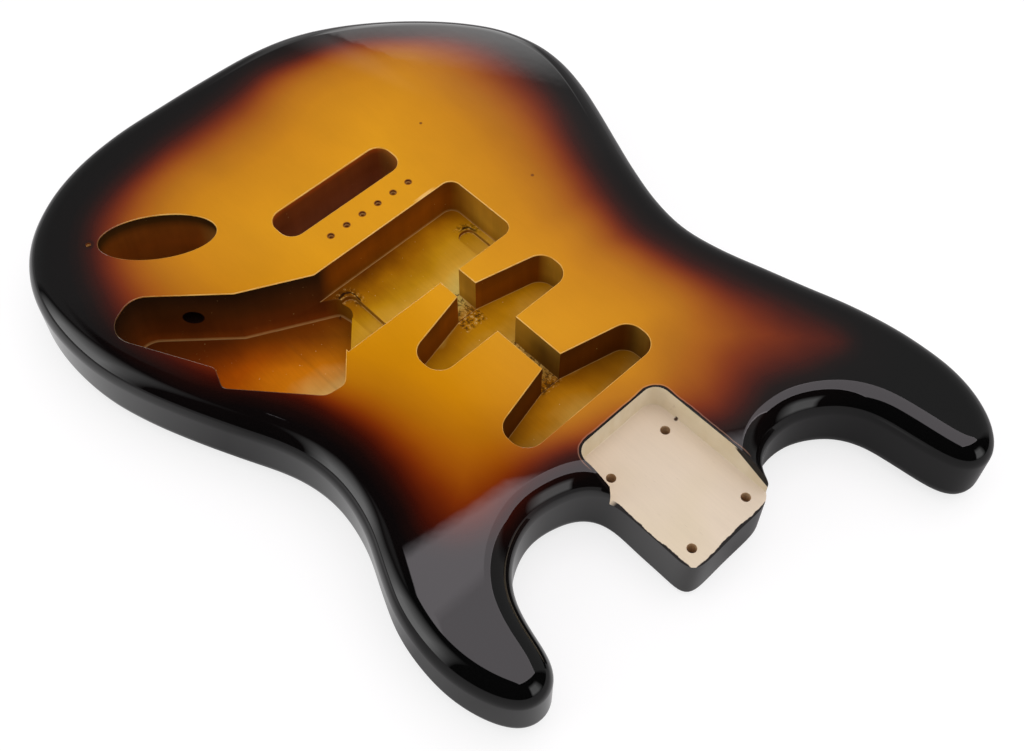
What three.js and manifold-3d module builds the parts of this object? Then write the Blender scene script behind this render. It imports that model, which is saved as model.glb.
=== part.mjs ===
// Bare, unloaded body of a double-cutaway electric guitar, glued up from boards.
// Millimetres. The origin is the middle of the four neck screws on the back face.
// +X points along the strings to the neck, +Y to the bass side, +Z out of the top face.
import * as THREE from 'three';
import { mergeVertices } from 'three/addons/utils/BufferGeometryUtils.js';
import Module from 'manifold-3d';

const wasm = await Module();
wasm.setup();

// The blank
const bodyLength = 456;
const bodyWidth = 325;
const bodyThickness = 44.5;
const edgeRadius = 12.7;
const heelEdgeRadius = 3;
const topEdgeFade = 14;
const backEdgeFade = 45;

// Glue joints between the boards, as shares of the body's width
const trebleSeamShare = 0.2215;
const boardWidthShare = 0.2985;

// Neck pocket and its screws
const pocketWidth = 56;
const pocketLength = 76.5;
const pocketDepth = 15.9;
const pocketCornerRadius = 8;
const heelCornerRadius = 5;
const neckScrewSpan = 50.8;
const neckScrewSpread = 38.1;
const neckScrewToPocketRear = 16.6;
const neckScrewHole = 5;
const trebleWallLength = 25.5;
const trebleWallClearance = 3.2;

// Single-coil pickup cavities
const pickupGapFromPocket = 13.8;
const pickupPitch = 60.2;
const pickupCavityLength = 91;
const pickupCavityWidth = 29;
const pickupEndWidth = 19.5;
const pickupDepth = 22.5;
const pickupEndRadius = 9.5;
const pickupHipRadius = 2;

// Wiring channels along the centreline
const channelWidth = 12.4;
const channelDepth = 22;

// Bridge pickup cavity with its two mounting-leg pockets
const bridgeGap = 12.4;
const bridgeCavityWidth = 47.8;
const bridgeBassReach = 45.4;
const bridgeTrebleReach = 67;
const bridgeDepth = 23.5;
const bridgeCornerRadius = 6.5;
const legPocketWidth = 10;
const legPocketDepth = 4;
const legPocketInset = 3.5;
const bassLegPocketLength = 31;
const trebleLegPocketLength = 41;
const legPocketSpan = 75;
const legPocketRadius = 4.5;

// Control cavity, and the hole for the jack lead
const controlLength = 116;
const controlEdgeClearance = 15;
const controlDepth = 38.5;
const controlPastBridge = 13.4;
const controlTopOffset = 38.5;
const leadHole = 9.5;
const leadHoleDepth = 19;

// Jack cavity
const jackLength = 61.6;
const jackWidth = 29.2;
const jackTilt = THREE.MathUtils.degToRad(53);
const jackFromTrem = 38.2;
const jackOffset = 91.9;
const jackDepth = 38.5;
const jackScrewHole = 2.6;
const jackScrewDepth = 14;
const jackScrewReach = 35.6;

// Vibrato: six pivot screws, the slot for the block and the spring cavity behind
const bridgeToPivot = 13.6;
const pivotPitch = 10.7;
const pivotCount = 6;
const pivotHole = 3;
const pivotHoleDepth = 22;
const pivotToSlot = 11.8;
const slotWidth = 20;
const slotLength = 78;
const slotOffset = -5;
const slotCornerRadius = 8;
const springDepth = 16;
const springWidth = 57;
const springLength = 112;
const blockCavityLength = 38;
const blockCavityWidth = 86;
const springCornerRadius = 8;
const blockPastSlot = 8;
const groundHole = 5;

// Comfort contours: forearm bevel on the top, belly scoop on the back
const forearmDepth = 10;
const forearmReach = 88;
const forearmSoft = 25;
const bellyDepth = 16;
const bellyReach = 50;
const bellySoft = 18;
const bellyHalfLength = 92;

// How finely the surfaces are divided
const evenPoints = 700;
const outlineStep = 16;
const outlineTurn = 0.24;
const roundSteps = 3;
const gridStep = 18;
const edgeClearShare = 0.6;
const bendShare = 0.95;
const bendNeighbours = 2;
const farReach = 50;
const arcTurn = 0.4;
const holeSides = 14;
const jackSides = 32;
const overrun = 2;
const slabReach = 2;

// Places that follow from the sizes above
const pocketRear = -neckScrewSpan / 2 - neckScrewToPocketRear;
const heelEnd = pocketRear + pocketLength;
const heelSide = -pocketWidth / 2;
const neckPickupEdge = pocketRear - pickupGapFromPocket;
const middlePickupEdge = neckPickupEdge - pickupPitch;
const bridgeEdge = middlePickupEdge - pickupCavityWidth - bridgeGap;
const bridgeTail = bridgeEdge - bridgeCavityWidth;
const pivotLine = bridgeTail - bridgeToPivot;
const slotEdge = pivotLine - pivotToSlot;
const slotTail = slotEdge - slotWidth;

// Outline of the body, anticlockwise from the heel's bass corner.
// Shares of the body's length along X and of its width along Y, from the origin.
const bassCutawayShares = [
  [0.0355, 0.133], [0.0325, 0.166], [0.0365, 0.203],
  [0.0495, 0.239], [0.068, 0.2675], [0.092, 0.285], [0.123, 0.2925],
];
const bassHornShares = [
  [0.152, 0.2975], [0.179, 0.3045], [0.1985, 0.318], [0.2075, 0.344],
  [0.2035, 0.37], [0.189, 0.396], [0.167, 0.418], [0.14, 0.4335],
  [0.109, 0.442], [0.077, 0.443], [0.04, 0.4395],
];
const bassWaistShares = [
  [-0.016, 0.4245], [-0.066, 0.4035], [-0.114, 0.3845],
  [-0.166, 0.364], [-0.217, 0.3545], [-0.267, 0.3655],
];
const bassBoutShares = [
  [-0.318, 0.391], [-0.366, 0.4215], [-0.414, 0.453], [-0.46, 0.481],
  [-0.5045, 0.501], [-0.5475, 0.5087], [-0.5885, 0.5005], [-0.624, 0.4805],
  [-0.6615, 0.442], [-0.696, 0.392], [-0.7295, 0.329], [-0.7575, 0.2585],
];
const tailShares = [
  [-0.777, 0.1835], [-0.79, 0.095], [-0.7935, 0], [-0.7935, -0.1],
  [-0.791, -0.2], [-0.779, -0.289], [-0.756, -0.3655],
];
const trebleBoutShares = [
  [-0.72, -0.431], [-0.6755, -0.4725], [-0.6275, -0.493], [-0.575, -0.499],
  [-0.522, -0.4925], [-0.4695, -0.473], [-0.4165, -0.4445], [-0.363, -0.411],
];
const trebleWaistShares = [
  [-0.3135, -0.379], [-0.2785, -0.3645], [-0.2455, -0.3605],
  [-0.213, -0.3655], [-0.178, -0.379],
];
const trebleHornShares = [
  [-0.135, -0.406], [-0.0985, -0.427], [-0.0615, -0.438], [-0.018, -0.4405],
  [0.0175, -0.4315], [0.0435, -0.4165], [0.0608, -0.3975], [0.0682, -0.37],
  [0.0615, -0.341], [0.044, -0.325],
];
const trebleCutawayShares = [
  [0.004, -0.3105], [-0.022, -0.298], [-0.0425, -0.2785], [-0.0595, -0.249],
  [-0.0705, -0.2125], [-0.0725, -0.181], [-0.0685, -0.151],
];

// Run of the treble cutaway into the heel's side, as shares of the way between them.
const cutawayToHeelShares = [[0.105, 0.47], [0.32, 0.84], [0.625, 0.987]];

// Run of the heel's bass corner into the bass cutaway, as a share of the way between them.
const heelToCutawayShare = [0.64, 0.349];

// Where the heel's end stops being straight and where it is half turned, as shares of the pocket's width.
const heelStraightShare = 0.25;
const heelTurnShare = 0.385;

// Corners of the control cavity, as shares of its own box from its neck-side bass corner.
const controlShares = [
  [-0.405, 0.0], [-0.235, -0.154], [0.0, -0.3755], [-0.0105, -0.4855],
  [-0.3345, -0.79], [-0.436, -0.747], [-0.895, -1.0], [-0.994, -0.792],
  [-0.687, -0.436], [-0.488, -0.0165],
];
const controlRadiusShares = [0.058, 0.1445, 0.053, 0.0725, 0.037, 0.046, 0.1055, 0.101, 0.055, 0.046];

// Where the jack lead's hole enters the control cavity, as shares of its own box.
const leadHoleShare = [-0.76, -0.6175];

// Ends of the ground-wire hole: the first as shares of the spring cavity's width and depth
// from its closed end, the second as shares of the bridge, control and spring cavities' sizes.
const groundStartShare = [-0.33, -0.25, 0.5];
const groundEndShare = [-0.33, -0.25, 0.6];

// Line along which the forearm bevel starts, and the middle of the belly scoop.
const bevelStartShare = [-0.252, 0.3445];
const bevelEndShare = [-0.795, 0.117];
const bellyMiddleShare = [-0.2415, 0.356];

// Width that the treble side leaves the control cavity.
const trebleReach = -Math.min(...trebleBoutShares.map((pair) => pair[1])) * bodyWidth;
const controlWidth = trebleReach - controlTopOffset - controlEdgeClearance;

function placeShare([alongShare, acrossShare]) {
  return new THREE.Vector2(alongShare * bodyLength, acrossShare * bodyWidth);
}

function smoothStep(value) {
  const share = THREE.MathUtils.clamp(value, 0, 1);
  return share * share * (3 - 2 * share);
}

// Rises softly from zero, then in a straight line.
function softRamp(distance, soft) {
  if (distance <= 0) return 0;
  return distance < soft ? distance * distance / (2 * soft) : distance - soft / 2;
}

function forearmDrop(x, y) {
  const start = placeShare(bevelStartShare);
  const along = placeShare(bevelEndShare).sub(start).normalize();
  const distance = along.y * (x - start.x) - along.x * (y - start.y);
  return forearmDepth * softRamp(distance, forearmSoft) / softRamp(forearmReach, forearmSoft);
}

function bellyRise(x, y) {
  const middle = placeShare(bellyMiddleShare);
  const along = THREE.MathUtils.clamp((x - middle.x) / bellyHalfLength, -1, 1);
  const valley = Math.cos(along * Math.PI / 2) ** 2;
  const inward = softRamp(y - middle.y + bellyReach, bellySoft);
  return bellyDepth * valley * inward / softRamp(bellyReach, bellySoft);
}

// Distance from the straight sides of the heel, where the edges are hardly rounded.
function heelDistance(x, y) {
  const past = Math.max(0, -x);
  const above = Math.max(0, y - pocketWidth * heelStraightShare);
  return Math.hypot(past, above, Math.max(0, heelSide - y));
}

function fadedRadius(x, y, fade) {
  const share = smoothStep(heelDistance(x, y) / fade);
  return THREE.MathUtils.lerp(heelEdgeRadius, edgeRadius, share);
}

// Keeps points of a closed line so that no stretch is too long or turns too far.
function thinned(points, step, turn) {
  const kept = [];
  let effort = 1;
  for (let i = 0; i < points.length; i += 1) {
    const before = points[(i + points.length - 1) % points.length];
    const after = points[(i + 1) % points.length];
    const inward = points[i].clone().sub(before);
    const outward = after.clone().sub(points[i]);
    const bend = Math.abs(Math.atan2(inward.cross(outward), inward.dot(outward)));
    effort += outward.length() / step + bend / turn;
    if (effort >= 1) {
      kept.push(points[i]);
      effort = 0;
    }
  }
  return kept;
}

// Evens out a closed line's bends, each point moving to the mean of its five nearest.
function smoothed(loop) {
  return loop.map((_, i) => {
    const mean = new THREE.Vector2();
    for (let k = -2; k <= 2; k += 1) mean.add(loop[(i + k + loop.length) % loop.length]);
    return mean.divideScalar(5);
  });
}

// The body's outline from above, a closed anticlockwise line.
function bodyOutline() {
  const corner = heelCornerRadius;
  const diagonal = corner * (1 - Math.SQRT1_2);
  const heel = [
    [0, heelSide],
    [heelEnd / 2, heelSide],
    [heelEnd - corner, heelSide],
    [heelEnd - diagonal, heelSide + diagonal],
    [heelEnd, heelSide + corner],
    [heelEnd, 0],
    [heelEnd, pocketWidth * heelStraightShare],
    [heelEnd - diagonal, pocketWidth * heelTurnShare],
    [heelEnd - corner, pocketWidth / 2],
  ];
  const cutawayEnd = placeShare(trebleCutawayShares[trebleCutawayShares.length - 1]);
  const cutawayToHeel = cutawayToHeelShares.map(([alongShare, acrossShare]) => [
    THREE.MathUtils.lerp(cutawayEnd.x, 0, alongShare),
    THREE.MathUtils.lerp(cutawayEnd.y, heelSide, acrossShare),
  ]);
  const shares = [
    ...bassCutawayShares, ...bassHornShares, ...bassWaistShares, ...bassBoutShares, ...tailShares,
    ...trebleBoutShares, ...trebleWaistShares, ...trebleHornShares, ...trebleCutawayShares,
  ];
  const placed = shares.map(placeShare).map((p) => [p.x, p.y]);
  const cutawayStart = placeShare(bassCutawayShares[0]);
  const heelToCutaway = [
    THREE.MathUtils.lerp(heelEnd - corner, cutawayStart.x, heelToCutawayShare[0]),
    THREE.MathUtils.lerp(pocketWidth / 2, cutawayStart.y, heelToCutawayShare[1]),
  ];
  const all = [...placed, ...cutawayToHeel, ...heel, heelToCutaway];
  const flat = all.map(([x, y]) => new THREE.Vector3(x, y, 0));
  const spine = new THREE.CatmullRomCurve3(flat, true, 'centripetal');
  spine.arcLengthDivisions = evenPoints * 2;
  const even = spine.getSpacedPoints(evenPoints).slice(0, -1).map((p) => new THREE.Vector2(p.x, p.y));
  return thinned(smoothed(smoothed(even)), outlineStep, outlineTurn);
}

// Unit normals of a closed anticlockwise line, pointing into the body.
function inwardNormals(loop) {
  return loop.map((point, i) => {
    const before = loop[(i + loop.length - 1) % loop.length];
    const after = loop[(i + 1) % loop.length];
    const along = after.clone().sub(before).normalize();
    return new THREE.Vector2(-along.y, along.x);
  });
}

// Radius of each outward bend of a closed anticlockwise line, infinite where it turns the other way.
function bendRadii(loop) {
  return loop.map((point, i) => {
    const inward = point.clone().sub(loop[(i + loop.length - 1) % loop.length]);
    const outward = loop[(i + 1) % loop.length].clone().sub(point);
    const turn = Math.atan2(inward.cross(outward), inward.dot(outward));
    return turn > 0 ? (inward.length() + outward.length()) / (2 * turn) : Infinity;
  });
}

// Rounding radii along the outline, kept within its tightest bends nearby.
function edgeRadii(outline, fade) {
  const bends = bendRadii(outline);
  const window = Array.from({ length: 2 * bendNeighbours + 1 }, (_, k) => k - bendNeighbours);
  const nearby = (values, i) => window.map((k) => values[(i + k + values.length) % values.length]);
  const limited = outline.map((point, i) => {
    return Math.min(fadedRadius(point.x, point.y, fade), Math.min(...nearby(bends, i)) * bendShare);
  });
  return limited.map((radius, i) => {
    const mean = nearby(limited, i).reduce((sum, value) => sum + value, 0) / window.length;
    return Math.min(radius, mean);
  });
}

function distanceToLoop(point, loop) {
  let nearest = Infinity;
  loop.forEach((start, i) => {
    const end = loop[(i + 1) % loop.length];
    const edge = end.clone().sub(start);
    const share = THREE.MathUtils.clamp(point.clone().sub(start).dot(edge) / edge.lengthSq(), 0, 1);
    nearest = Math.min(nearest, start.clone().addScaledVector(edge, share).distanceTo(point));
  });
  return nearest;
}

function insideLoop(point, loop) {
  let inside = false;
  loop.forEach((start, i) => {
    const end = loop[(i + 1) % loop.length];
    if ((start.y > point.y) === (end.y > point.y)) return;
    const share = (point.y - start.y) / (end.y - start.y);
    if (point.x < THREE.MathUtils.lerp(start.x, end.x, share)) inside = !inside;
  });
  return inside;
}

// Rows of points well inside a closed line, every second row shifted by half a step.
function innerPoints(loop) {
  const box = new THREE.Box2().setFromPoints(loop);
  const rowStep = gridStep * Math.sin(Math.PI / 3);
  const rows = Math.ceil((box.max.y - box.min.y) / rowStep);
  const columns = Math.ceil((box.max.x - box.min.x) / gridStep);
  const found = [];
  for (let j = 0; j < rows; j += 1) {
    for (let i = 0; i < columns; i += 1) {
      const along = (i + j % 2 / 2) * gridStep;
      const point = new THREE.Vector2(box.min.x + along, box.min.y + j * rowStep);
      const clear = distanceToLoop(point, loop) > outlineStep * edgeClearShare;
      if (clear && insideLoop(point, loop)) found.push(point);
    }
  }
  return found;
}

// Whether a point lies in the circle through the corners of an anticlockwise triangle.
function inCircle([a, b, c], point) {
  const [u, v, w] = [a, b, c].map((corner) => corner.clone().sub(point));
  return u.lengthSq() * v.cross(w) + v.lengthSq() * w.cross(u) + w.lengthSq() * u.cross(v) > 0;
}

// Delaunay triangles that fill a closed line, with points inside so that the surface can bend.
function capTriangles(loop) {
  const points = [...loop, ...innerPoints(loop)];
  const count = points.length;
  const box = new THREE.Box2().setFromPoints(loop);
  const reach = box.getSize(new THREE.Vector2()).length() * farReach;
  for (let k = 0; k < 3; k += 1) {
    const arm = new THREE.Vector2(reach, 0).rotateAround(new THREE.Vector2(), 2 * Math.PI * k / 3);
    points.push(box.getCenter(new THREE.Vector2()).add(arm));
  }
  let triangles = [[count, count + 1, count + 2]];
  for (let i = 0; i < count; i += 1) {
    const kept = [];
    const border = new Map();
    for (const face of triangles) {
      if (inCircle(face.map((k) => points[k]), points[i])) {
        face.forEach((from, k) => {
          const to = face[(k + 1) % 3];
          if (!border.delete(`${to},${from}`)) border.set(`${from},${to}`, [from, to]);
        });
      } else {
        kept.push(face);
      }
    }
    triangles = [...kept, ...[...border.values()].map(([from, to]) => [from, to, i])];
  }
  const inside = (face) => {
    const middle = new THREE.Vector2();
    face.forEach((k) => middle.add(points[k]));
    return face.every((k) => k < count) && insideLoop(middle.divideScalar(3), loop);
  };
  return { points: points.slice(0, count), triangles: triangles.filter(inside) };
}

// Triangles between two rings of equal length, the second one above or inside the first.
function bandTriangles(count, lower, upper) {
  const triangles = [];
  for (let i = 0; i < count; i += 1) {
    const next = (i + 1) % count;
    triangles.push([lower + i, lower + next, upper + next], [lower + i, upper + next, upper + i]);
  }
  return triangles;
}

// Closed solid of the whole blank with rounded edges and both comfort contours.
function blankGeometry() {
  const outline = bodyOutline();
  const normals = inwardNormals(outline);
  const ringAt = (turn, radii) => outline.map((point, i) => {
    const inset = radii[i] * (1 - Math.cos(turn));
    return {
      place: point.clone().addScaledVector(normals[i], inset),
      rise: radii[i] * (1 - Math.sin(turn)),
    };
  });
  const topPoint = ({ place, rise }) => {
    const height = bodyThickness - rise - forearmDrop(place.x, place.y);
    return [place.x, place.y, height];
  };
  const backPoint = ({ place, rise }) => [place.x, place.y, rise + bellyRise(place.x, place.y)];
  const turns = Array.from({ length: roundSteps + 1 }, (_, k) => k / roundSteps * Math.PI / 2);
  const backRadii = edgeRadii(outline, backEdgeFade);
  const topRadii = edgeRadii(outline, topEdgeFade);
  const backRings = turns.map((turn) => ringAt(turn, backRadii)).reverse();
  const topRings = turns.map((turn) => ringAt(turn, topRadii));
  const vertices = [...backRings.flat().map(backPoint), ...topRings.flat().map(topPoint)];
  const triangles = [];
  for (let k = 0; k < 2 * roundSteps + 1; k += 1) {
    triangles.push(...bandTriangles(outline.length, k * outline.length, (k + 1) * outline.length));
  }
  const addCap = (ring, firstVertex, toVertex, flip) => {
    const { points, triangles: faces } = capTriangles(ring.map((p) => p.place));
    const innerStart = vertices.length;
    points.slice(outline.length).forEach((place) => vertices.push(toVertex({ place, rise: 0 })));
    const placed = (k) => (k < outline.length ? firstVertex + k : innerStart + k - outline.length);
    faces.forEach(([a, b, c]) => triangles.push((flip ? [a, c, b] : [a, b, c]).map(placed)));
  };
  addCap(topRings[roundSteps], (2 * roundSteps + 1) * outline.length, topPoint, false);
  addCap(backRings[0], 0, backPoint, true);
  const geometry = new THREE.BufferGeometry();
  geometry.setAttribute('position', new THREE.Float32BufferAttribute(vertices.flat(), 3));
  geometry.setIndex(triangles.flat());
  return geometry;
}

// Closed line through corners { x, y, r }, each rounded by its own radius.
function filletedLoop(corners) {
  const loop = [];
  corners.forEach((corner, i) => {
    const here = new THREE.Vector2(corner.x, corner.y);
    const before = corners[(i + corners.length - 1) % corners.length];
    const after = corners[(i + 1) % corners.length];
    const back = new THREE.Vector2(before.x, before.y).sub(here).normalize();
    const ahead = new THREE.Vector2(after.x, after.y).sub(here).normalize();
    const half = Math.acos(THREE.MathUtils.clamp(back.dot(ahead), -1, 1)) / 2;
    const bisector = back.clone().add(ahead).normalize();
    const centre = here.clone().addScaledVector(bisector, corner.r / Math.sin(half));
    const start = here.clone().addScaledVector(back, corner.r / Math.tan(half)).sub(centre);
    const sweep = Math.PI - 2 * half;
    const side = Math.sign(ahead.cross(back)) || 1;
    const steps = Math.max(1, Math.ceil(sweep / arcTurn));
    for (let k = 0; k <= steps; k += 1) {
      const arm = start.clone().rotateAround(new THREE.Vector2(), side * sweep * k / steps);
      loop.push(centre.clone().add(arm));
    }
  });
  return loop;
}

function solidFrom(geometry) {
  geometry.deleteAttribute('normal');
  geometry.deleteAttribute('uv');
  const merged = mergeVertices(geometry);
  const vertProperties = new Float32Array(merged.attributes.position.array);
  const triVerts = new Uint32Array(merged.index.array);
  return new wasm.Manifold(new wasm.Mesh({ numProp: 3, vertProperties, triVerts }));
}

// Upright prism over a closed line, between two heights.
function prism(loop, bottom, top) {
  const shape = new THREE.Shape(loop);
  const geometry = new THREE.ExtrudeGeometry(shape, { depth: top - bottom, bevelEnabled: false });
  geometry.translate(0, 0, bottom);
  return solidFrom(geometry);
}

function topPrism(loop, depth) {
  return prism(loop, bodyThickness - depth, bodyThickness + overrun);
}

function rectangleCorners(left, right, low, high, radius) {
  return [
    { x: left, y: low, r: radius },
    { x: right, y: low, r: radius },
    { x: right, y: high, r: radius },
    { x: left, y: high, r: radius },
  ];
}

// Round hole between two points.
function drilled(from, to, diameter) {
  const along = to.clone().sub(from);
  const geometry = new THREE.CylinderGeometry(diameter / 2, diameter / 2, along.length(), holeSides);
  geometry.applyQuaternion(new THREE.Quaternion().setFromUnitVectors(
    new THREE.Vector3(0, 1, 0),
    along.clone().normalize(),
  ));
  const middle = from.clone().add(to).divideScalar(2);
  geometry.translate(middle.x, middle.y, middle.z);
  return solidFrom(geometry);
}

function neckPocketCut() {
  const corners = rectangleCorners(
    pocketRear, heelEnd + overrun, heelSide, pocketWidth / 2, pocketCornerRadius,
  );
  corners[1].r = 0;
  corners[2].r = 0;
  return topPrism(filletedLoop(corners), pocketDepth);
}

// Past the end of the pocket's short treble wall nothing stands above its floor.
function pocketSideClearance() {
  const corners = rectangleCorners(
    pocketRear + trebleWallLength, heelEnd + overrun, heelSide - trebleWallClearance, 0, 0,
  );
  return topPrism(filletedLoop(corners), pocketDepth);
}

function neckScrewHoles() {
  const floor = bodyThickness - pocketDepth;
  return [-1, 1].flatMap((i) => [-1, 1].map((j) => {
    const x = i * neckScrewSpan / 2;
    const y = j * neckScrewSpread / 2;
    const bottom = new THREE.Vector3(x, y, -overrun);
    return drilled(bottom, new THREE.Vector3(x, y, floor + overrun), neckScrewHole);
  }));
}

function pickupCut(neckEdge) {
  const end = pickupCavityLength / 2;
  const hip = channelWidth / 2;
  const tailEdge = neckEdge - pickupCavityWidth;
  const endEdge = neckEdge - pickupEndWidth;
  const corners = [
    { x: neckEdge, y: -end, r: pickupEndRadius },
    { x: neckEdge, y: end, r: pickupEndRadius },
    { x: endEdge, y: end, r: pickupEndRadius },
    { x: tailEdge, y: hip, r: pickupHipRadius },
    { x: tailEdge, y: -hip, r: pickupHipRadius },
    { x: endEdge, y: -end, r: pickupEndRadius },
  ];
  return topPrism(filletedLoop(corners), pickupDepth);
}

function channelCut(left, right) {
  const half = channelWidth / 2;
  return topPrism(filletedLoop(rectangleCorners(left, right, -half, half, 0)), channelDepth);
}

function bridgeCut() {
  const corners = rectangleCorners(
    bridgeTail, bridgeEdge, -bridgeTrebleReach, bridgeBassReach, bridgeCornerRadius,
  );
  corners[0].r = 0;
  corners[1].r = 0;
  return topPrism(filletedLoop(corners), bridgeDepth);
}

// Two slots below the bridge cavity's floor, for the legs of a humbucker's base plate.
function legPocketCuts() {
  const bassLine = bridgeBassReach - legPocketInset - legPocketWidth / 2;
  const pockets = [[bassLine, bassLegPocketLength], [bassLine - legPocketSpan, trebleLegPocketLength]];
  return pockets.map(([line, length]) => {
    const low = line - legPocketWidth / 2;
    const corners = rectangleCorners(
      bridgeEdge - length, bridgeEdge, low, low + legPocketWidth, legPocketRadius,
    );
    corners[1].r = 0;
    corners[2].r = 0;
    return topPrism(filletedLoop(corners), bridgeDepth + legPocketDepth);
  });
}

function controlCut() {
  const cornerX = bridgeEdge + controlPastBridge;
  const corners = controlShares.map(([alongShare, acrossShare], i) => ({
    x: cornerX + alongShare * controlLength,
    y: -controlTopOffset + acrossShare * controlWidth,
    r: controlRadiusShares[i] * controlWidth,
  }));
  return topPrism(filletedLoop(corners.reverse()), controlDepth);
}

function jackCentre() {
  return new THREE.Vector2(slotEdge - slotWidth / 2 - jackFromTrem, -jackOffset);
}

function jackCut() {
  const centre = jackCentre();
  const curve = new THREE.EllipseCurve(
    centre.x, centre.y, jackLength / 2, jackWidth / 2, 0, 2 * Math.PI, false, jackTilt,
  );
  return topPrism(curve.getPoints(jackSides).slice(0, -1), jackDepth);
}

function jackScrewHoleCut() {
  const centre = jackCentre();
  const x = centre.x - Math.cos(jackTilt) * jackScrewReach;
  const y = centre.y - Math.sin(jackTilt) * jackScrewReach;
  const bottom = new THREE.Vector3(x, y, bodyThickness - jackScrewDepth);
  return drilled(bottom, new THREE.Vector3(x, y, bodyThickness + overrun), jackScrewHole);
}

// Lead hole from the control cavity's tail wall into the jack cavity.
function leadHoleCut() {
  const centre = jackCentre();
  const height = bodyThickness - leadHoleDepth;
  const [alongShare, acrossShare] = leadHoleShare;
  const controlX = bridgeEdge + controlPastBridge + controlLength * alongShare;
  const controlY = -controlTopOffset + controlWidth * acrossShare;
  const from = new THREE.Vector3(centre.x, centre.y, height);
  return drilled(from, new THREE.Vector3(controlX, controlY, height), leadHole);
}

function slotCut() {
  const low = slotOffset - slotLength / 2;
  const corners = rectangleCorners(slotTail, slotEdge, low, low + slotLength, slotCornerRadius);
  return prism(filletedLoop(corners), -overrun, bodyThickness + overrun);
}

function pivotHoles() {
  return Array.from({ length: pivotCount }, (_, i) => {
    const y = (i - (pivotCount - 1) / 2) * pivotPitch;
    const bottom = new THREE.Vector3(pivotLine, y, bodyThickness - pivotHoleDepth);
    return drilled(bottom, new THREE.Vector3(pivotLine, y, bodyThickness + overrun), pivotHole);
  });
}

// Cavity in the back for the springs, wider where the vibrato block swings.
function springCuts() {
  const left = slotTail - blockPastSlot;
  const blockLow = slotOffset - blockCavityWidth / 2;
  const block = rectangleCorners(
    left, left + blockCavityLength, blockLow, blockLow + blockCavityWidth, springCornerRadius,
  );
  const springs = rectangleCorners(
    left, left + springLength, -springWidth / 2, springWidth / 2, springCornerRadius,
  );
  return [block, springs].map((corners) => prism(filletedLoop(corners), -overrun, springDepth));
}

// Ground-wire hole from the spring cavity's end down into the control cavity.
function groundHoleCut() {
  const springEnd = slotTail - blockPastSlot + springLength;
  const from = new THREE.Vector3(
    springEnd + springWidth * groundStartShare[0],
    springWidth * groundStartShare[1],
    springDepth * groundStartShare[2],
  );
  const to = new THREE.Vector3(
    bridgeEdge + bridgeCavityWidth * groundEndShare[0],
    -controlTopOffset + controlWidth * groundEndShare[1],
    springDepth * groundEndShare[2],
  );
  return drilled(from, to, groundHole);
}

function routedBlank() {
  const cuts = [
    neckPocketCut(), pocketSideClearance(), ...neckScrewHoles(),
    pickupCut(neckPickupEdge), pickupCut(middlePickupEdge),
    channelCut(middlePickupEdge - pickupEndWidth, neckPickupEdge - pickupEndWidth),
    channelCut(bridgeEdge - bridgeGap, middlePickupEdge - pickupEndWidth),
    bridgeCut(), ...legPocketCuts(), controlCut(), jackCut(), jackScrewHoleCut(), leadHoleCut(),
    slotCut(), ...pivotHoles(), ...springCuts(), groundHoleCut(),
  ];
  return cuts.reduce((body, cut) => body.subtract(cut), solidFrom(blankGeometry()));
}

// Block of space between two glue lines, taller and longer than the body.
function boardSpace(left, right, low, high) {
  const geometry = new THREE.BoxGeometry(right - left, high - low, bodyThickness * slabReach);
  geometry.translate((left + right) / 2, (low + high) / 2, bodyThickness / 2);
  return solidFrom(geometry);
}

const wood = new THREE.MeshStandardMaterial({ color: 0xc8892a, roughness: 0.35, metalness: 0 });

function boardMesh(name, blank, space, colour) {
  const cut = blank.intersect(space).getMesh();
  const geometry = new THREE.BufferGeometry();
  const position = [];
  for (let i = 0; i < cut.numVert; i += 1) {
    position.push(...cut.vertProperties.slice(i * cut.numProp, i * cut.numProp + 3));
  }
  geometry.setAttribute('position', new THREE.Float32BufferAttribute(position, 3));
  geometry.setIndex([...cut.triVerts]);
  const material = wood.clone();
  material.color.set(colour);
  const mesh = new THREE.Mesh(geometry, material);
  mesh.name = name;
  return mesh;
}

const blank = routedBlank();
const left = -bodyLength;
const right = bodyLength;
const boardWidth = bodyWidth * boardWidthShare;
const firstSeam = -bodyWidth * trebleSeamShare;
const secondSeam = firstSeam + boardWidth;
const thirdSeam = secondSeam + boardWidth;
const waist = placeShare(bellyMiddleShare).x;

const group = new THREE.Group();
group.add(
  boardMesh('treble_board', blank, boardSpace(left, right, -bodyWidth, firstSeam), 0x6e3a16),
  boardMesh('centre_board', blank, boardSpace(left, right, firstSeam, secondSeam), 0xd69a2a),
  boardMesh('bass_board', blank, boardSpace(left, right, secondSeam, thirdSeam), 0xb9701f),
  boardMesh('bass_bout_strip', blank, boardSpace(left, waist, thirdSeam, bodyWidth), 0x2a1c16),
  boardMesh('bass_horn_strip', blank, boardSpace(waist, right, thirdSeam, bodyWidth), 0x1d1716),
);

export default group;
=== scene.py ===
import math

import bpy
import numpy as np
from mathutils import Euler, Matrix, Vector
from mathutils.bvhtree import BVHTree
from mathutils.geometry import delaunay_2d_cdt


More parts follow.
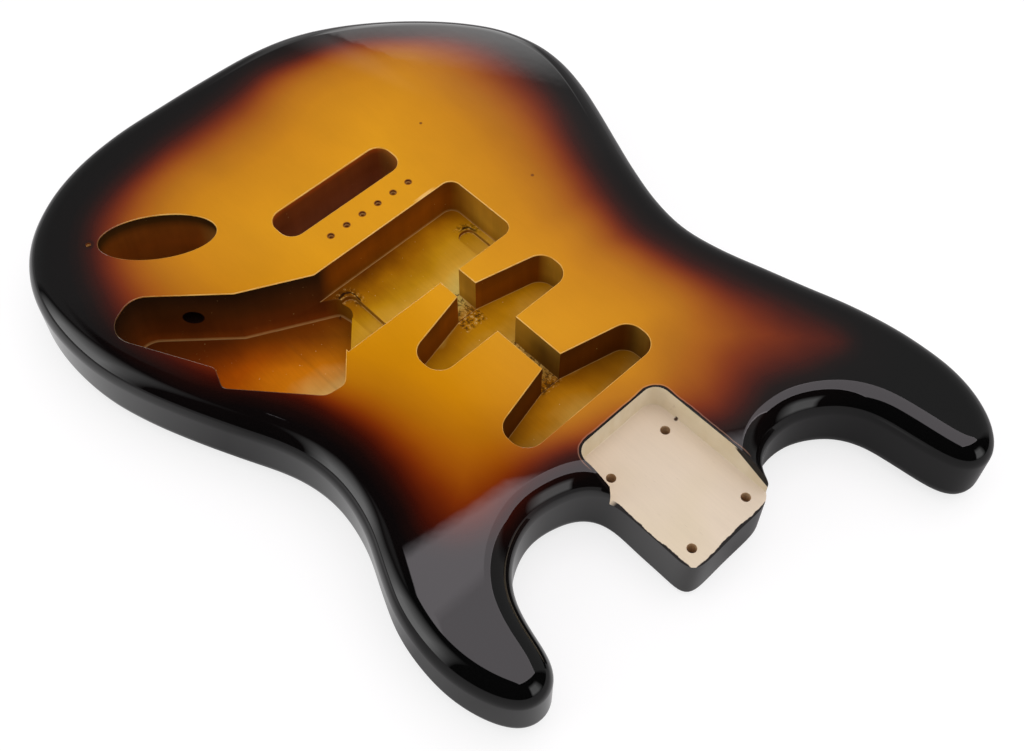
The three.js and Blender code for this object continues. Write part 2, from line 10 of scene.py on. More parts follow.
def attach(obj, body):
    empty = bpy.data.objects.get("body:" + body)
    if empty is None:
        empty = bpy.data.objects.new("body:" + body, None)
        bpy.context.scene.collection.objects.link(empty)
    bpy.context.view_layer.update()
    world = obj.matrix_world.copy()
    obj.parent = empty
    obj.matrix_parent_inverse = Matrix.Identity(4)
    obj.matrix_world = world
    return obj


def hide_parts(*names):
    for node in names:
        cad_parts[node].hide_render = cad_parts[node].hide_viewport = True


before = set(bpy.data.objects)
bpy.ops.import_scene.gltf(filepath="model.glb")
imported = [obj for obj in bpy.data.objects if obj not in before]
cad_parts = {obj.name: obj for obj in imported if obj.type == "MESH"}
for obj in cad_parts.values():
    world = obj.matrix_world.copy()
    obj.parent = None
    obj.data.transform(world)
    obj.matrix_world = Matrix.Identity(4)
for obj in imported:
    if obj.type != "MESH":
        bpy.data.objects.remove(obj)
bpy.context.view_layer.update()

MM = 0.001

# Sizes of the body in millimetres, as the solids have them. Only the heel's corners, the leg pockets' depths
# and the outlines of the control and jack cavities are a little closer to the photo
LENGTH = 456.0
WIDTH = 325.0
THICK = 44.5
EDGE = 12.7
HEEL_EDGE = 3.0
HEEL_CORNER = 3.0
SEAMS = (-71.99, 25.03, 122.04)
POCKET_WIDTH = 56.0
POCKET_DEPTH = 15.9
POCKET_REAR = -42.0
HEEL_END = 34.5
NECK_PICKUP = -55.8
MIDDLE_PICKUP = -116.0
PICKUP_DEPTH = 22.5
CHANNEL_DEPTH = 22.0
CHANNEL_HALF_WIDTH = 6.2
BRIDGE_EDGE = -157.4
BRIDGE_TAIL = -205.2
BRIDGE_SIDES = (-67.0, 45.4)
BRIDGE_DEPTH = 23.5
LEG_WIDTH = 10.0
LEG_CORNER = 4.5
BASS_LEG = (-188.4, 31.9, 25.5)
TREBLE_LEG = (-198.4, -43.1, 26.5)
PIVOT_LINE = -218.8
PIVOT_PITCH = 10.7
PIVOT_HOLE = 3.0
PIVOT_DEPTH = 22.0
SLOT_EDGE = -230.6
SLOT_TAIL = -250.6
SLOT_SIDES = (-44.0, 34.0)
BACK_MARGIN = 8.0
BACK_DEPTH = 16.0
BLOCK_LENGTH = 38.0
BLOCK_SIDES = (-48.0, 38.0)
SPRINGS_LENGTH = 112.0
SPRINGS_HALF_WIDTH = 28.5
BACK_CORNER = 8.0
CONTROL_DEPTH = 38.5
JACK_CENTRE = (-278.8, -91.9)
JACK_TILT = math.radians(53)
JACK_SCREW = (JACK_CENTRE[0] - math.cos(JACK_TILT) * 35.6, JACK_CENTRE[1] - math.sin(JACK_TILT) * 35.6)
JACK_SCREW_HOLE = 2.6
JACK_SCREW_DEPTH = 14.0
JACK_SEEN_CENTRE = (-280.2, -91.6)
JACK_SEEN_TILT = math.radians(55.5)
JACK_RADII = (30.3, 14.5)
LEAD_END = (-232.2, -105.6)
LEAD_HEIGHT = 25.5
LEAD_HOLE = 9.5
GROUND_ENDS = ((-165.4, -14.25, 8.0), (-173.2, -65.7, 9.6))
SCREW_SPANS = (50.8, 38.1)
SCREW_HOLE = 5.0

# The two comfort contours: depth at a given reach from where they start, and their soft start
FOREARM_DEPTH, FOREARM_REACH, FOREARM_SOFT = 10.0, 88.0, 25.0
BELLY_DEPTH, BELLY_REACH, BELLY_SOFT = 16.0, 50.0, 18.0
BELLY_HALF_LENGTH = 92.0
WAIST = -0.2415 * LENGTH
WAIST_SIDE = 0.356 * WIDTH

# Faces of the cut body this close to the uncut one are skin
SKIN_GAP = 0.004 * MM

# Where the pocket's treble wall ends, cut off aslant
POCKET_SIDE = [(-19, 0), (-19, -28), (-14, -31.2), (-14, -36), (41, -36), (41, 0)]

# Outline control points, as shares of the body's length and width
OUTLINE_SHARES = [
    (0.0355, 0.133), (0.0325, 0.166), (0.0365, 0.203),
    (0.0495, 0.239), (0.068, 0.2675), (0.092, 0.285), (0.123, 0.2925),
    (0.152, 0.2975), (0.179, 0.3045), (0.1985, 0.318), (0.2075, 0.344),
    (0.2035, 0.37), (0.189, 0.396), (0.167, 0.418), (0.14, 0.4335),
    (0.109, 0.442), (0.077, 0.443), (0.04, 0.4395),
    (-0.016, 0.4245), (-0.066, 0.4035), (-0.114, 0.3845),
    (-0.166, 0.364), (-0.217, 0.3545), (-0.267, 0.3655),
    (-0.318, 0.391), (-0.366, 0.4215), (-0.414, 0.453), (-0.46, 0.481),
    (-0.5045, 0.501), (-0.5475, 0.5087), (-0.5885, 0.5005), (-0.624, 0.4805),
    (-0.6615, 0.442), (-0.696, 0.392), (-0.7295, 0.329), (-0.7575, 0.2585),
    (-0.777, 0.1835), (-0.79, 0.095), (-0.7935, 0), (-0.7935, -0.1),
    (-0.791, -0.2), (-0.779, -0.289), (-0.756, -0.3655),
    (-0.72, -0.431), (-0.6755, -0.4725), (-0.6275, -0.493), (-0.575, -0.499),
    (-0.522, -0.4925), (-0.4695, -0.473), (-0.4165, -0.4445), (-0.363, -0.411),
    (-0.3135, -0.379), (-0.2785, -0.3645), (-0.2455, -0.3605),
    (-0.213, -0.3655), (-0.178, -0.379),
    (-0.135, -0.406), (-0.0985, -0.427), (-0.0615, -0.438), (-0.018, -0.4405),
    (0.0175, -0.4315), (0.0435, -0.4165), (0.0608, -0.3975), (0.0682, -0.37),
    (0.0615, -0.341), (0.044, -0.325),
    (0.004, -0.3105), (-0.022, -0.298), (-0.0425, -0.2785), (-0.0595, -0.249),
    (-0.0705, -0.2125), (-0.0725, -0.181), (-0.0685, -0.151),
]
TO_HEEL = [(-27.96, -39.17), (-21.24, -31.37), (-11.71, -28.27)]
TO_CUTAWAY = (21.7, 33.3)
CONTROL_SHARES = [
    (-0.405, 0.0), (-0.235, -0.166), (0.0, -0.387), (-0.0105, -0.4855), (-0.3345, -0.79),
    (-0.436, -0.747), (-0.887, -0.997), (-0.98, -0.79), (-0.687, -0.436), (-0.488, -0.0165),
]
CONTROL_RADII = [6.3, 15.7, 5.8, 7.9, 4.0, 5.0, 12.0, 12.0, 6.0, 5.0]
CONTROL_LENGTH = 116.0
CONTROL_WIDTH = 108.7
CONTROL_CORNER = (BRIDGE_EDGE + 13.4, -38.5)

# Where the black edge of the finish ends, and where its red-brown turns amber, in millimetres
BLACK_ENDS = [
    (-5, 35), (-7, 66), (4, 96), (6, 112), (-20, 110), (-48, 102), (-80, 94), (-114, 92),
    (-137, 97), (-158, 104), (-190, 118), (-215, 129), (-240, 136), (-268, 136), (-293, 123),
    (-310, 101), (-325, 77), (-333, 48), (-337, 22), (-334, -2), (-332, -27), (-329, -53),
    (-324, -80), (-314, -106), (-294, -124), (-268, -133), (-240, -138), (-212, -132),
    (-188, -122), (-165, -108), (-146, -99), (-128, -95), (-108, -94), (-88, -96), (-72, -100),
    (-58, -104), (-46, -98), (-41, -84), (-43, -66), (-45, -48), (-42, -34), (-36, -20), (-28, 10),
]
AMBER_STARTS = [
    (-42, 26), (-54, 46), (-66, 66), (-92, 66), (-116, 62), (-134, 67), (-150, 66), (-170, 74),
    (-191, 79), (-209, 84), (-228, 89), (-250, 93), (-273, 96), (-292, 91), (-303, 70), (-311, 46),
    (-310, 21), (-300, 0), (-299, -20), (-299, -40), (-298, -64), (-286, -84), (-270, -98),
    (-247, -100), (-226, -99), (-205, -98), (-185, -92), (-165, -84), (-146, -76), (-130, -68),
    (-112, -63), (-94, -58), (-80, -50), (-68, -36), (-58, -20), (-50, 2),
]


def smooth_step(value):
    share = np.clip(value, 0, 1)
    return share * share * (3 - 2 * share)


def closed_curve(points, count):
    """Evenly spaced points on a closed centripetal curve through a few points."""
    points = np.array(points, float)
    total = len(points)
    run = []
    for i in range(total):
        x0, x1 = points[i - 1], points[i]
        x2, x3 = points[(i + 1) % total], points[(i + 2) % total]
        d0, d1, d2 = (np.sum((b - a) ** 2) ** 0.25 for a, b in ((x0, x1), (x1, x2), (x2, x3)))
        t1 = ((x1 - x0) / d0 - (x2 - x0) / (d0 + d1) + (x2 - x1) / d1) * d1
        t2 = ((x2 - x1) / d1 - (x3 - x1) / (d1 + d2) + (x3 - x2) / d2) * d1
        s = np.linspace(0, 1, 40, endpoint=False)[:, None]
        run.append(
            (2 * s**3 - 3 * s**2 + 1) * x1 + (s**3 - 2 * s**2 + s) * t1
            + (-2 * s**3 + 3 * s**2) * x2 + (s**3 - s**2) * t2
        )
    run = np.vstack(run)
    ring = np.vstack([run, run[:1]])
    far = np.concatenate([[0], np.cumsum(np.linalg.norm(np.diff(ring, axis=0), axis=1))])
    at = np.linspace(0, far[-1], count, endpoint=False)
    return np.column_stack([np.interp(at, far, ring[:, k]) for k in range(2)])


def averaged(values, reach):
    return sum(np.roll(values, k, axis=0) for k in range(-reach, reach + 1)) / (2 * reach + 1)


def body_outline():
    diagonal = HEEL_CORNER * (1 - math.sqrt(0.5))
    side = -POCKET_WIDTH / 2
    heel = [
        (0, side), (HEEL_END / 2, side), (HEEL_END - HEEL_CORNER, side),
        (HEEL_END - diagonal, side + diagonal), (HEEL_END, side + HEEL_CORNER), (HEEL_END, 0),
        (HEEL_END, POCKET_WIDTH * 0.38), (HEEL_END - diagonal, POCKET_WIDTH * 0.455),
        (HEEL_END - HEEL_CORNER, POCKET_WIDTH / 2), TO_CUTAWAY,
    ]
    placed = [(x * LENGTH, y * WIDTH) for x, y in OUTLINE_SHARES]
    return averaged(averaged(closed_curve(placed + TO_HEEL + heel, 700), 2), 2)


def soft_ramp(distance, soft):
    distance = np.maximum(distance, 0)
    return np.where(distance < soft, distance**2 / (2 * soft), distance - soft / 2)


def forearm_drop(x, y):
    start = np.array([-0.252 * LENGTH, 0.3445 * WIDTH])
    along = np.array([-0.795 * LENGTH, 0.117 * WIDTH]) - start
    along /= np.linalg.norm(along)
    distance = along[1] * (x - start[0]) - along[0] * (y - start[1])
    full = soft_ramp(np.array(FOREARM_REACH), FOREARM_SOFT)
    return FOREARM_DEPTH * soft_ramp(distance, FOREARM_SOFT) / full


def belly_rise(x, y):
    along = np.clip((x - WAIST) / BELLY_HALF_LENGTH, -1, 1)
    inward = soft_ramp(y - WAIST_SIDE + BELLY_REACH, BELLY_SOFT)
    full = soft_ramp(np.array(BELLY_REACH), BELLY_SOFT)
    return BELLY_DEPTH * np.cos(along * math.pi / 2) ** 2 * inward / full


def slope(height, x, y):
    step = 0.05
    across = (height(x + step, y) - height(x - step, y)) / (2 * step)
    along = (height(x, y + step) - height(x, y - step)) / (2 * step)
    return across, along


def outward_normals(loop):
    along = np.roll(loop, -1, axis=0) - np.roll(loop, 1, axis=0)
    along /= np.linalg.norm(along, axis=1)[:, None]
    return np.column_stack([along[:, 1], -along[:, 0]])


def edge_radii(loop, fade):
    """Rounding radius at each outline point, small at the heel and inside the tightest bends."""
    x, y = loop[:, 0], loop[:, 1]
    past = np.maximum(0, -x)
    above = np.maximum(0, y - POCKET_WIDTH * 0.25)
    below = np.maximum(0, -POCKET_WIDTH / 2 - y)
    share = smooth_step(np.sqrt(past**2 + above**2 + below**2) / fade)
    radii = HEEL_EDGE + (EDGE - HEEL_EDGE) * share
    inward = loop - np.roll(loop, 3, axis=0)
    outward = np.roll(loop, -3, axis=0) - loop
    turn = np.arctan2(
        inward[:, 0] * outward[:, 1] - inward[:, 1] * outward[:, 0],
        np.sum(inward * outward, axis=1),
    )
    lengths = np.linalg.norm(inward, axis=1) + np.linalg.norm(outward, axis=1)
    bends = np.where(turn > 1e-4, lengths / (2 * np.maximum(turn, 1e-4)), 1e9)
    near = np.min([np.roll(bends, k) for k in range(-8, 9)], axis=0)
    return averaged(np.minimum(radii, near * 0.9), 6)


def inside(points, loop):
    found = np.zeros(len(points), bool)
    for a, b in zip(loop, np.roll(loop, -1, axis=0)):
        crosses = (a[1] > points[:, 1]) != (b[1] > points[:, 1])
        reach = a[0] + (b[0] - a[0]) * (points[:, 1] - a[1]) / (b[1] - a[1] + 1e-12)
        found ^= crosses & (points[:, 0] < reach)
    return found


def distance_to(points, loop):
    best = np.full(len(points), 1e9)
    for a, b in zip(loop, np.roll(loop, -1, axis=0)):
        edge = b - a
        share = np.clip((points - a) @ edge / (edge @ edge), 0, 1)
        gap = points - a - share[:, None] * edge
        best = np.minimum(best, np.hypot(gap[:, 0], gap[:, 1]))
    return best


def cap(loop, step):
    """Points inside a closed line and the triangles that fill it."""
    low, high = loop.min(axis=0), loop.max(axis=0)
    rows = []
    for j, y in enumerate(np.arange(low[1], high[1], step * math.sin(math.pi / 3))):
        xs = np.arange(low[0] + (j % 2) * step / 2, high[0], step)
        rows.append(np.column_stack([xs, np.full(len(xs), y)]))
    grid = np.vstack(rows)
    grid = grid[inside(grid, loop)]
    grid = grid[distance_to(grid, loop[::3]) > step * 0.55]
    points = [Vector(p) for p in np.vstack([loop, grid])]
    edges = [(i, (i + 1) % len(loop)) for i in range(len(loop))]
    found = delaunay_2d_cdt(points, edges, [], 1, 1e-7)
    if len(found[0]) != len(points):
        raise RuntimeError("the outline crosses itself")
    order = [source[0] for source in found[3]]
    faces = [tuple(order[k] for k in face) for face in found[2]]
    return grid, faces


def mesh_from(name, points, faces):
    mesh = bpy.data.meshes.new(name)
    mesh.from_pydata((np.array(points) * MM).tolist(), [], faces)
    mesh.validate()
    return mesh


def band(count, low, high):
    return [(low + i, low + (i + 1) % count, high + (i + 1) % count, high + i) for i in range(count)]


def blank_mesh():
    """The uncut body, with the true normal of its surface at every point."""
    loop = body_outline()
    out = outward_normals(loop)
    count = len(loop)
    steps = 10
    points, normals, faces = [], [], []
    turns = np.linspace(0, math.pi / 2, steps + 1)
    back_radii = edge_radii(loop, 45.0)
    top_radii = edge_radii(loop, 14.0)

    def ring(turn, radii, is_top):
        place = loop - out * (radii * (1 - math.cos(turn)))[:, None]
        rise = radii * (1 - math.sin(turn))
        add(place, rise, np.column_stack([out * math.cos(turn), np.full(count, math.sin(turn))]), is_top)
        return place

    def add(place, rise, normal, is_top):
        x, y = place[:, 0], place[:, 1]
        contour = forearm_drop if is_top else belly_rise
        slope_x, slope_y = slope(contour, x, y)
        z = THICK - rise - contour(x, y) if is_top else rise + contour(x, y)
        up = normal[:, 2]
        sheared = [normal[:, 0] + up * slope_x, normal[:, 1] + up * slope_y, up if is_top else -up]
        sheared = np.column_stack(sheared)
        normals.append(sheared / np.linalg.norm(sheared, axis=1)[:, None])
        points.append(np.column_stack([x, y, z]))

    inner_back = ring(turns[-1], back_radii, False)
    for turn in turns[-2::-1]:
        ring(turn, back_radii, False)
    for turn in turns:
        inner_top = ring(turn, top_radii, True)
    for k in range(2 * steps + 1):
        faces += band(count, k * count, (k + 1) * count)
    for inner, first, is_top in ((inner_top, (2 * steps + 1) * count, True), (inner_back, 0, False)):
        grid, filled = cap(inner, 5.0)
        start = sum(len(p) for p in points)
        add(grid, np.zeros(len(grid)), np.tile([0.0, 0.0, 1.0], (len(grid), 1)), is_top)
        for face in filled:
            placed = [first + k if k < count else start + k - count for k in face]
            faces.append(tuple(placed if is_top else placed[::-1]))
    return np.vstack(points), np.vstack(normals), faces


def rounded(corners, turn=0.16):
    """Closed anticlockwise line through corners (x, y, radius)."""
    loop = []
    for i, (x, y, radius) in enumerate(corners):
        here = np.array([x, y], float)
        back = np.array(corners[i - 1][:2], float) - here
        ahead = np.array(corners[(i + 1) % len(corners)][:2], float) - here
        back /= np.linalg.norm(back)
        ahead /= np.linalg.norm(ahead)
        half = math.acos(np.clip(back @ ahead, -1, 1)) / 2
        if radius == 0:
            loop.append(here)
            continue
        middle = back + ahead
        centre = here + middle / np.linalg.norm(middle) * radius / math.sin(half)
        start = here + back * radius / math.tan(half) - centre
        sweep = math.pi - 2 * half
        side = 1 if back[0] * ahead[1] - back[1] * ahead[0] < 0 else -1
        steps = max(2, math.ceil(sweep / turn))
        for k in range(steps + 1):
            angle = side * sweep * k / steps
            turned = (
                start[0] * math.cos(angle) - start[1] * math.sin(angle),
                start[0] * math.sin(angle) + start[1] * math.cos(angle),
            )
            loop.append(centre + turned)
    return np.array(loop)


def rectangle(left, right, low, high, radii):
    corners = [(left, low), (right, low), (right, high), (left, high)]
    return rounded([(x, y, radius) for (x, y), radius in zip(corners, radii)])


def offset(loop, distance):
    """Moves a closed anticlockwise line outwards, or inwards for a negative distance."""
    before = loop - np.roll(loop, 1, axis=0)
    after = np.roll(loop, -1, axis=0) - loop
    normals = []
    for edge in (before, after):
        edge = edge / np.linalg.norm(edge, axis=1)[:, None]
        normals.append(np.column_stack([edge[:, 1], -edge[:, 0]]))
    both = normals[0] + normals[1]
    scale = 1 + np.sum(normals[0] * normals[1], axis=1)
    return loop + distance * both / np.maximum(scale, 0.3)[:, None]


def solid(name, rings):
    """Closed solid through level rings of equal length, from its foot up."""
    count = len(rings[0][0])
    points = np.vstack([np.column_stack([ring, np.full(count, z)]) for ring, z in rings])
    faces = [tuple(range(count))[::-1], tuple(range(len(points) - count, len(points)))]
    for k in range(len(rings) - 1):
        faces += band(count, k * count, (k + 1) * count)
    return bpy.data.objects.new(name, mesh_from(name, points, faces))


def flare(loop, mouth, up, lip):
    """Rings that widen towards a mouth, where a cavity meets the surface."""
    rings = []
    for k in range(5):
        turn = math.radians(78) * k / 4
        rings.append((offset(loop, lip * (1 - math.cos(turn))), mouth - up * lip * (1 - math.sin(turn))))
    return rings


def cutter(name, loop, floor, mouth, lip=0.5, fillet=0.6, past=3.0):
    """Solid of a routed cavity: rounded at its floor, and flared where it meets the surface at mouth."""
    up = 1 if mouth > floor else -1
    rings = []
    for k in range(4 if fillet else 0):
        turn = math.pi / 2 * k / 4
        inward = offset(loop, -fillet * (1 - math.sin(turn)))
        rings.append((inward, floor + up * fillet * (1 - math.cos(turn))))
    rings.append((loop, floor + up * fillet))
    if lip:
        rings += flare(loop, mouth, up, lip)
    rings.append((rings[-1][0], mouth + up * past))
    return solid(name, rings[::up])


def slot_cutter(name, loop, lip=0.6, past=3.0):
    """Solid of a slot right through the body, flared at both faces."""
    high = flare(loop, THICK, 1, lip)
    low = flare(loop, 0.0, -1, lip)
    return solid(name, [(low[-1][0], -past), *reversed(low), *high, (high[-1][0], THICK + past)])


def bore(name, start, end, diameter, sides=24):
    start, end = Vector(start), Vector(end)
    turn = (end - start).to_track_quat("Z", "Y")
    points = []
    for z in (0, (end - start).length):
        for k in range(sides):
            angle = 2 * math.pi * k / sides
            arm = Vector((math.cos(angle) * diameter / 2, math.sin(angle) * diameter / 2, z))
            points.append(start + turn @ arm)
    faces = [tuple(range(sides))[::-1], tuple(range(sides, 2 * sides)), *band(sides, 0, sides)]
    return bpy.data.objects.new(name, mesh_from(name, points, faces))


def circle(x, y, diameter, sides=24):
    angles = np.linspace(0, 2 * math.pi, sides, endpoint=False)
    return np.column_stack([x + np.cos(angles) * diameter / 2, y + np.sin(angles) * diameter / 2])


def ellipse(centre, long_radius, short_radius, tilt, sides=96):
    angles = np.linspace(0, 2 * math.pi, sides, endpoint=False)
    u, v = np.cos(angles) * long_radius, np.sin(angles) * short_radius
    x = centre[0] + u * math.cos(tilt) - v * math.sin(tilt)
    y = centre[1] + u * math.sin(tilt) + v * math.cos(tilt)
    return np.column_stack([x, y])


def pickup_loop(edge):
    tail, end_tail = edge - 29.0, edge - 19.5
    return rounded([
        (edge, -45.5, 9.5), (edge, 45.5, 9.5), (end_tail, 45.5, 9.5),
        (tail, 6.2, 2.0), (tail, -6.2, 2.0), (end_tail, -45.5, 9.5),
    ])


def all_cutters():
    top = THICK
    half = POCKET_WIDTH / 2
    pocket = rectangle(POCKET_REAR, 40, -half, half, (8, 0, 0, 8))
    pocket_floor = top - POCKET_DEPTH
    control = [
        (CONTROL_CORNER[0] + x * CONTROL_LENGTH, CONTROL_CORNER[1] + y * CONTROL_WIDTH, radius)
        for (x, y), radius in zip(CONTROL_SHARES, CONTROL_RADII)
    ]
    jack = ellipse(JACK_SEEN_CENTRE, *JACK_RADII, JACK_SEEN_TILT)
    jack_screw = circle(*JACK_SCREW, JACK_SCREW_HOLE)
    slot = rectangle(SLOT_TAIL, SLOT_EDGE, *SLOT_SIDES, (8,) * 4)
    left = SLOT_TAIL - BACK_MARGIN
    block = rectangle(left, left + BLOCK_LENGTH, *BLOCK_SIDES, (BACK_CORNER,) * 4)
    springs = rectangle(
        left, left + SPRINGS_LENGTH, -SPRINGS_HALF_WIDTH, SPRINGS_HALF_WIDTH, (BACK_CORNER,) * 4)
    bridge = rectangle(BRIDGE_TAIL, BRIDGE_EDGE, *BRIDGE_SIDES, (0, 0, 6.5, 6.5))
    made = [
        cutter("cut_pocket", pocket, pocket_floor, top, 0.35, 0.4),
        cutter("cut_pocket_side", np.array(POCKET_SIDE), pocket_floor, top, 0, 0),
        cutter("cut_neck_pickup", pickup_loop(NECK_PICKUP), top - PICKUP_DEPTH, top),
        cutter("cut_middle_pickup", pickup_loop(MIDDLE_PICKUP), top - PICKUP_DEPTH, top),
    ]
    for name, start, end in (("cut_neck_channel", -127, -80), ("cut_bridge_channel", -171, -139)):
        channel = rectangle(start, end, -CHANNEL_HALF_WIDTH, CHANNEL_HALF_WIDTH, (0,) * 4)
        made.append(cutter(name, channel, top - CHANNEL_DEPTH, top))
    made.append(cutter("cut_bridge", bridge, top - BRIDGE_DEPTH, top))
    for name, (tail, side, depth) in (("cut_bass_leg", BASS_LEG), ("cut_treble_leg", TREBLE_LEG)):
        leg = rectangle(tail, -157.0, side, side + LEG_WIDTH, (LEG_CORNER, 0, 0, LEG_CORNER))
        made.append(cutter(name, leg, top - depth, top - 20, 0, 0.8, 0))
    made += [
        cutter("cut_control", rounded(control[::-1]), top - CONTROL_DEPTH, top, 0.5, 1.0),
        cutter("cut_jack", jack, top - CONTROL_DEPTH, top, 0.5, 1.0),
        slot_cutter("cut_slot", slot),
        cutter("cut_block", block, BACK_DEPTH, 0.0),
        cutter("cut_springs", springs, BACK_DEPTH, 0.0),
        bore("cut_lead", (*JACK_CENTRE, LEAD_HEIGHT), (*LEAD_END, LEAD_HEIGHT), LEAD_HOLE),
        bore("cut_ground", *GROUND_ENDS, 5.0),
        cutter("cut_jack_screw", jack_screw, top - JACK_SCREW_DEPTH, top, 0.15, 0.3),
    ]
    for k in range(6):
        hole = circle(PIVOT_LINE, (k - 2.5) * PIVOT_PITCH, PIVOT_HOLE)
        made.append(cutter(f"cut_pivot_{k}", hole, top - PIVOT_DEPTH, top, 0.25, 0.4))
    for i in (-SCREW_SPANS[0] / 2, SCREW_SPANS[0] / 2):
        for j in (-SCREW_SPANS[1] / 2, SCREW_SPANS[1] / 2):
            name = f"cut_screw_{i:.0f}_{j:.0f}"
            made.append(bore(name, (i, j, -3), (i, j, pocket_floor + 3), SCREW_HOLE))
    return made


def evaluated(obj):
    graph = bpy.context.evaluated_depsgraph_get()
    graph.update()
    return bpy.data.meshes.new_from_object(obj.evaluated_get(graph), depsgraph=graph)


def with_boolean(name, mesh, operands, kind):
    """A mesh cut by, or limited to, other solids."""
    obj = bpy.data.objects.new(name, mesh)
    bpy.context.collection.objects.link(obj)
    for operand in operands:
        if operand.name not in bpy.context.collection.objects:
            bpy.context.collection.objects.link(operand)
        modifier = obj.modifiers.new(operand.name, "BOOLEAN")
        modifier.object = operand
        modifier.operation = kind
        modifier.solver = "MANIFOLD"
    result = evaluated(obj)
    bpy.data.objects.remove(obj)
    for operand in operands:
        bpy.data.objects.remove(operand)
    return result


def box_object(name, low, high):
    points = [(x, y, z) for z in (low[2], high[2]) for x, y in (
        (low[0], low[1]), (high[0], low[1]), (high[0], high[1]), (low[0], high[1]))]
    faces = [(3, 2, 1, 0), (4, 5, 6, 7), *band(4, 0, 4)]
    return bpy.data.objects.new(name, mesh_from(name, points, faces))


# Colours of the cavities, by height and by place along the body, in millimetres, with painted light and
# shade in them: lit and shaded walls, shadow under the rims, the slot lighter towards its bottom, and
# shadows beside the tail walls of the floors
WALL_SHADED_DARK = [(20, (134, 80, 8)), (26, (134, 72, 6)), (34, (130, 67, 4)), (44.5, (102, 50, 4))]
WALL_LIT_GOLD = [(20, (150, 108, 24)), (30, (178, 132, 38)), (44.5, (160, 110, 26))]
WALL_DEEP = [
    (6, (150, 76, 20)), (14, (108, 54, 15)), (26, (80, 42, 13)), (38, (52, 28, 10)), (44.5, (34, 20, 8)),
]
WALL_JACK = [
    (6, (158, 92, 28)), (22, (158, 84, 24)), (34, (126, 66, 17)), (40, (66, 38, 10)), (44.5, (42, 26, 8)),
]
WALL_SLOT = [
    (0, (176, 98, 60)), (20, (170, 94, 52)), (30, (138, 70, 32)), (40, (116, 54, 18)), (44.5, (156, 66, 12)),
]
SHALLOW_FLOORS_SHADED = [
    (-206, (128, 68, 2)), (-196, (168, 108, 4)), (-184, (194, 140, 16)), (-170, (208, 158, 50)),
    (-158, (212, 184, 92)), (-150, (212, 180, 90)), (-143, (174, 112, 4)), (-132, (196, 136, 10)),
    (-118, (210, 162, 66)), (-96, (214, 168, 78)), (-84, (160, 96, 0)), (-72, (188, 124, 10)),
    (-57, (208, 164, 74)),
]
DEEP_FLOORS = [
    (-300, (90, 28, 0)), (-262, (116, 40, 0)), (-235, (132, 48, 0)), (-205, (182, 86, 0)),
    (-180, (210, 124, 10)), (-164, (216, 172, 92)), (-144, (222, 184, 120)),
]


# Materials
def srgb(red, green, blue):
    linear = [((c / 255 + 0.055) / 1.055) ** 2.4 if c > 10 else c / 255 / 12.92 for c in (red, green, blue)]
    return (*linear, 1.0)


class Value:
    """A number that a node gives, for plain sums."""

    def __init__(self, nodes, socket):
        self.nodes = nodes
        self.socket = socket

    def __add__(self, other):
        return self.nodes.math("ADD", self, other)

    def __sub__(self, other):
        return self.nodes.math("SUBTRACT", self, other)

    def __rsub__(self, other):
        return self.nodes.math("SUBTRACT", other, self)

    def __mul__(self, other):
        return self.nodes.math("MULTIPLY", self, other)

    def __abs__(self):
        return self.nodes.math("ABSOLUTE", self)

    __radd__ = __add__
    __rmul__ = __mul__

    def larger(self, other):
        return self.nodes.math("MAXIMUM", self, other)

    def smaller(self, other):
        return self.nodes.math("MINIMUM", self, other)

    def spread(self, low, high, to_low=0.0, to_high=1.0):
        node = self.nodes.add("ShaderNodeMapRange")
        for slot, setting in zip(list(node.inputs)[1:5], (low, high, to_low, to_high)):
            slot.default_value = setting
        self.nodes.link(self, node.inputs[0])
        return Value(self.nodes, node.outputs[0])

    def fade(self, low, high):
        return self.spread(low, high, 1.0, 0.0)

    def strip(self, low, high, soft):
        """One where the value lies between two others, falling to zero over a soft edge."""
        return self.spread(low - soft, low) * self.fade(high, high + soft)


class Nodes:
    """Small helper that adds nodes to a tree and links them."""

    def __init__(self, tree):
        self.tree = tree

    def add(self, kind, **settings):
        node = self.tree.nodes.new(kind)
        for key, value in settings.items():
            setattr(node, key, value)
        return node

    def link(self, source, target):
        self.tree.links.new(getattr(source, "socket", source), target)

    def plug(self, slot, value):
        """Sets a socket to a number or to a colour from 0 to 255, or links it."""
        if isinstance(value, tuple):
            slot.default_value = srgb(*value)
        elif isinstance(value, (int, float)):
            slot.default_value = value
        else:
            self.link(value, slot)

    def split(self, vector):
        parts = self.add("ShaderNodeSeparateXYZ")
        self.link(vector, parts.inputs[0])
        return [Value(self, part) for part in parts.outputs]

    def ramp(self, value, stops):
        node = self.add("ShaderNodeValToRGB")
        elements = node.color_ramp.elements
        while len(elements) < len(stops):
            elements.new(0.5)
        for element, (position, colour) in zip(elements, stops):
            element.position = position
            element.color = srgb(*colour)
        self.link(value, node.inputs["Fac"])
        return node.outputs["Color"]

    def run(self, value, stops):
        """Colours at given places along a value."""
        low, high = stops[0][0], stops[-1][0]
        placed = [((at - low) / (high - low), colour) for at, colour in stops]
        return self.ramp(value.spread(low, high), placed)

    def math(self, operation, first, second=None):
        node = self.add("ShaderNodeMath", operation=operation)
        for slot, value in zip(node.inputs, (first, second)):
            if value is not None:
                self.plug(slot, value)
        return Value(self, node.outputs["Value"])

    def length(self, across, along):
        return self.math("SQRT", across * across + along * along)

    def ray(self, kind):
        return Value(self, self.add("ShaderNodeLightPath").outputs[kind])

    def mix(self, share, first, second, blend="MIX"):
        node = self.add("ShaderNodeMix", data_type="RGBA", blend_type=blend)
        for slot, value in zip((node.inputs[0], node.inputs[6], node.inputs[7]), (share, first, second)):
            self.plug(slot, value)
        return node.outputs[2]

    def grey(self, value):
        tone = self.add("ShaderNodeCombineColor")
        for slot in tone.inputs:
            self.link(value, slot)
        return tone.outputs[0]


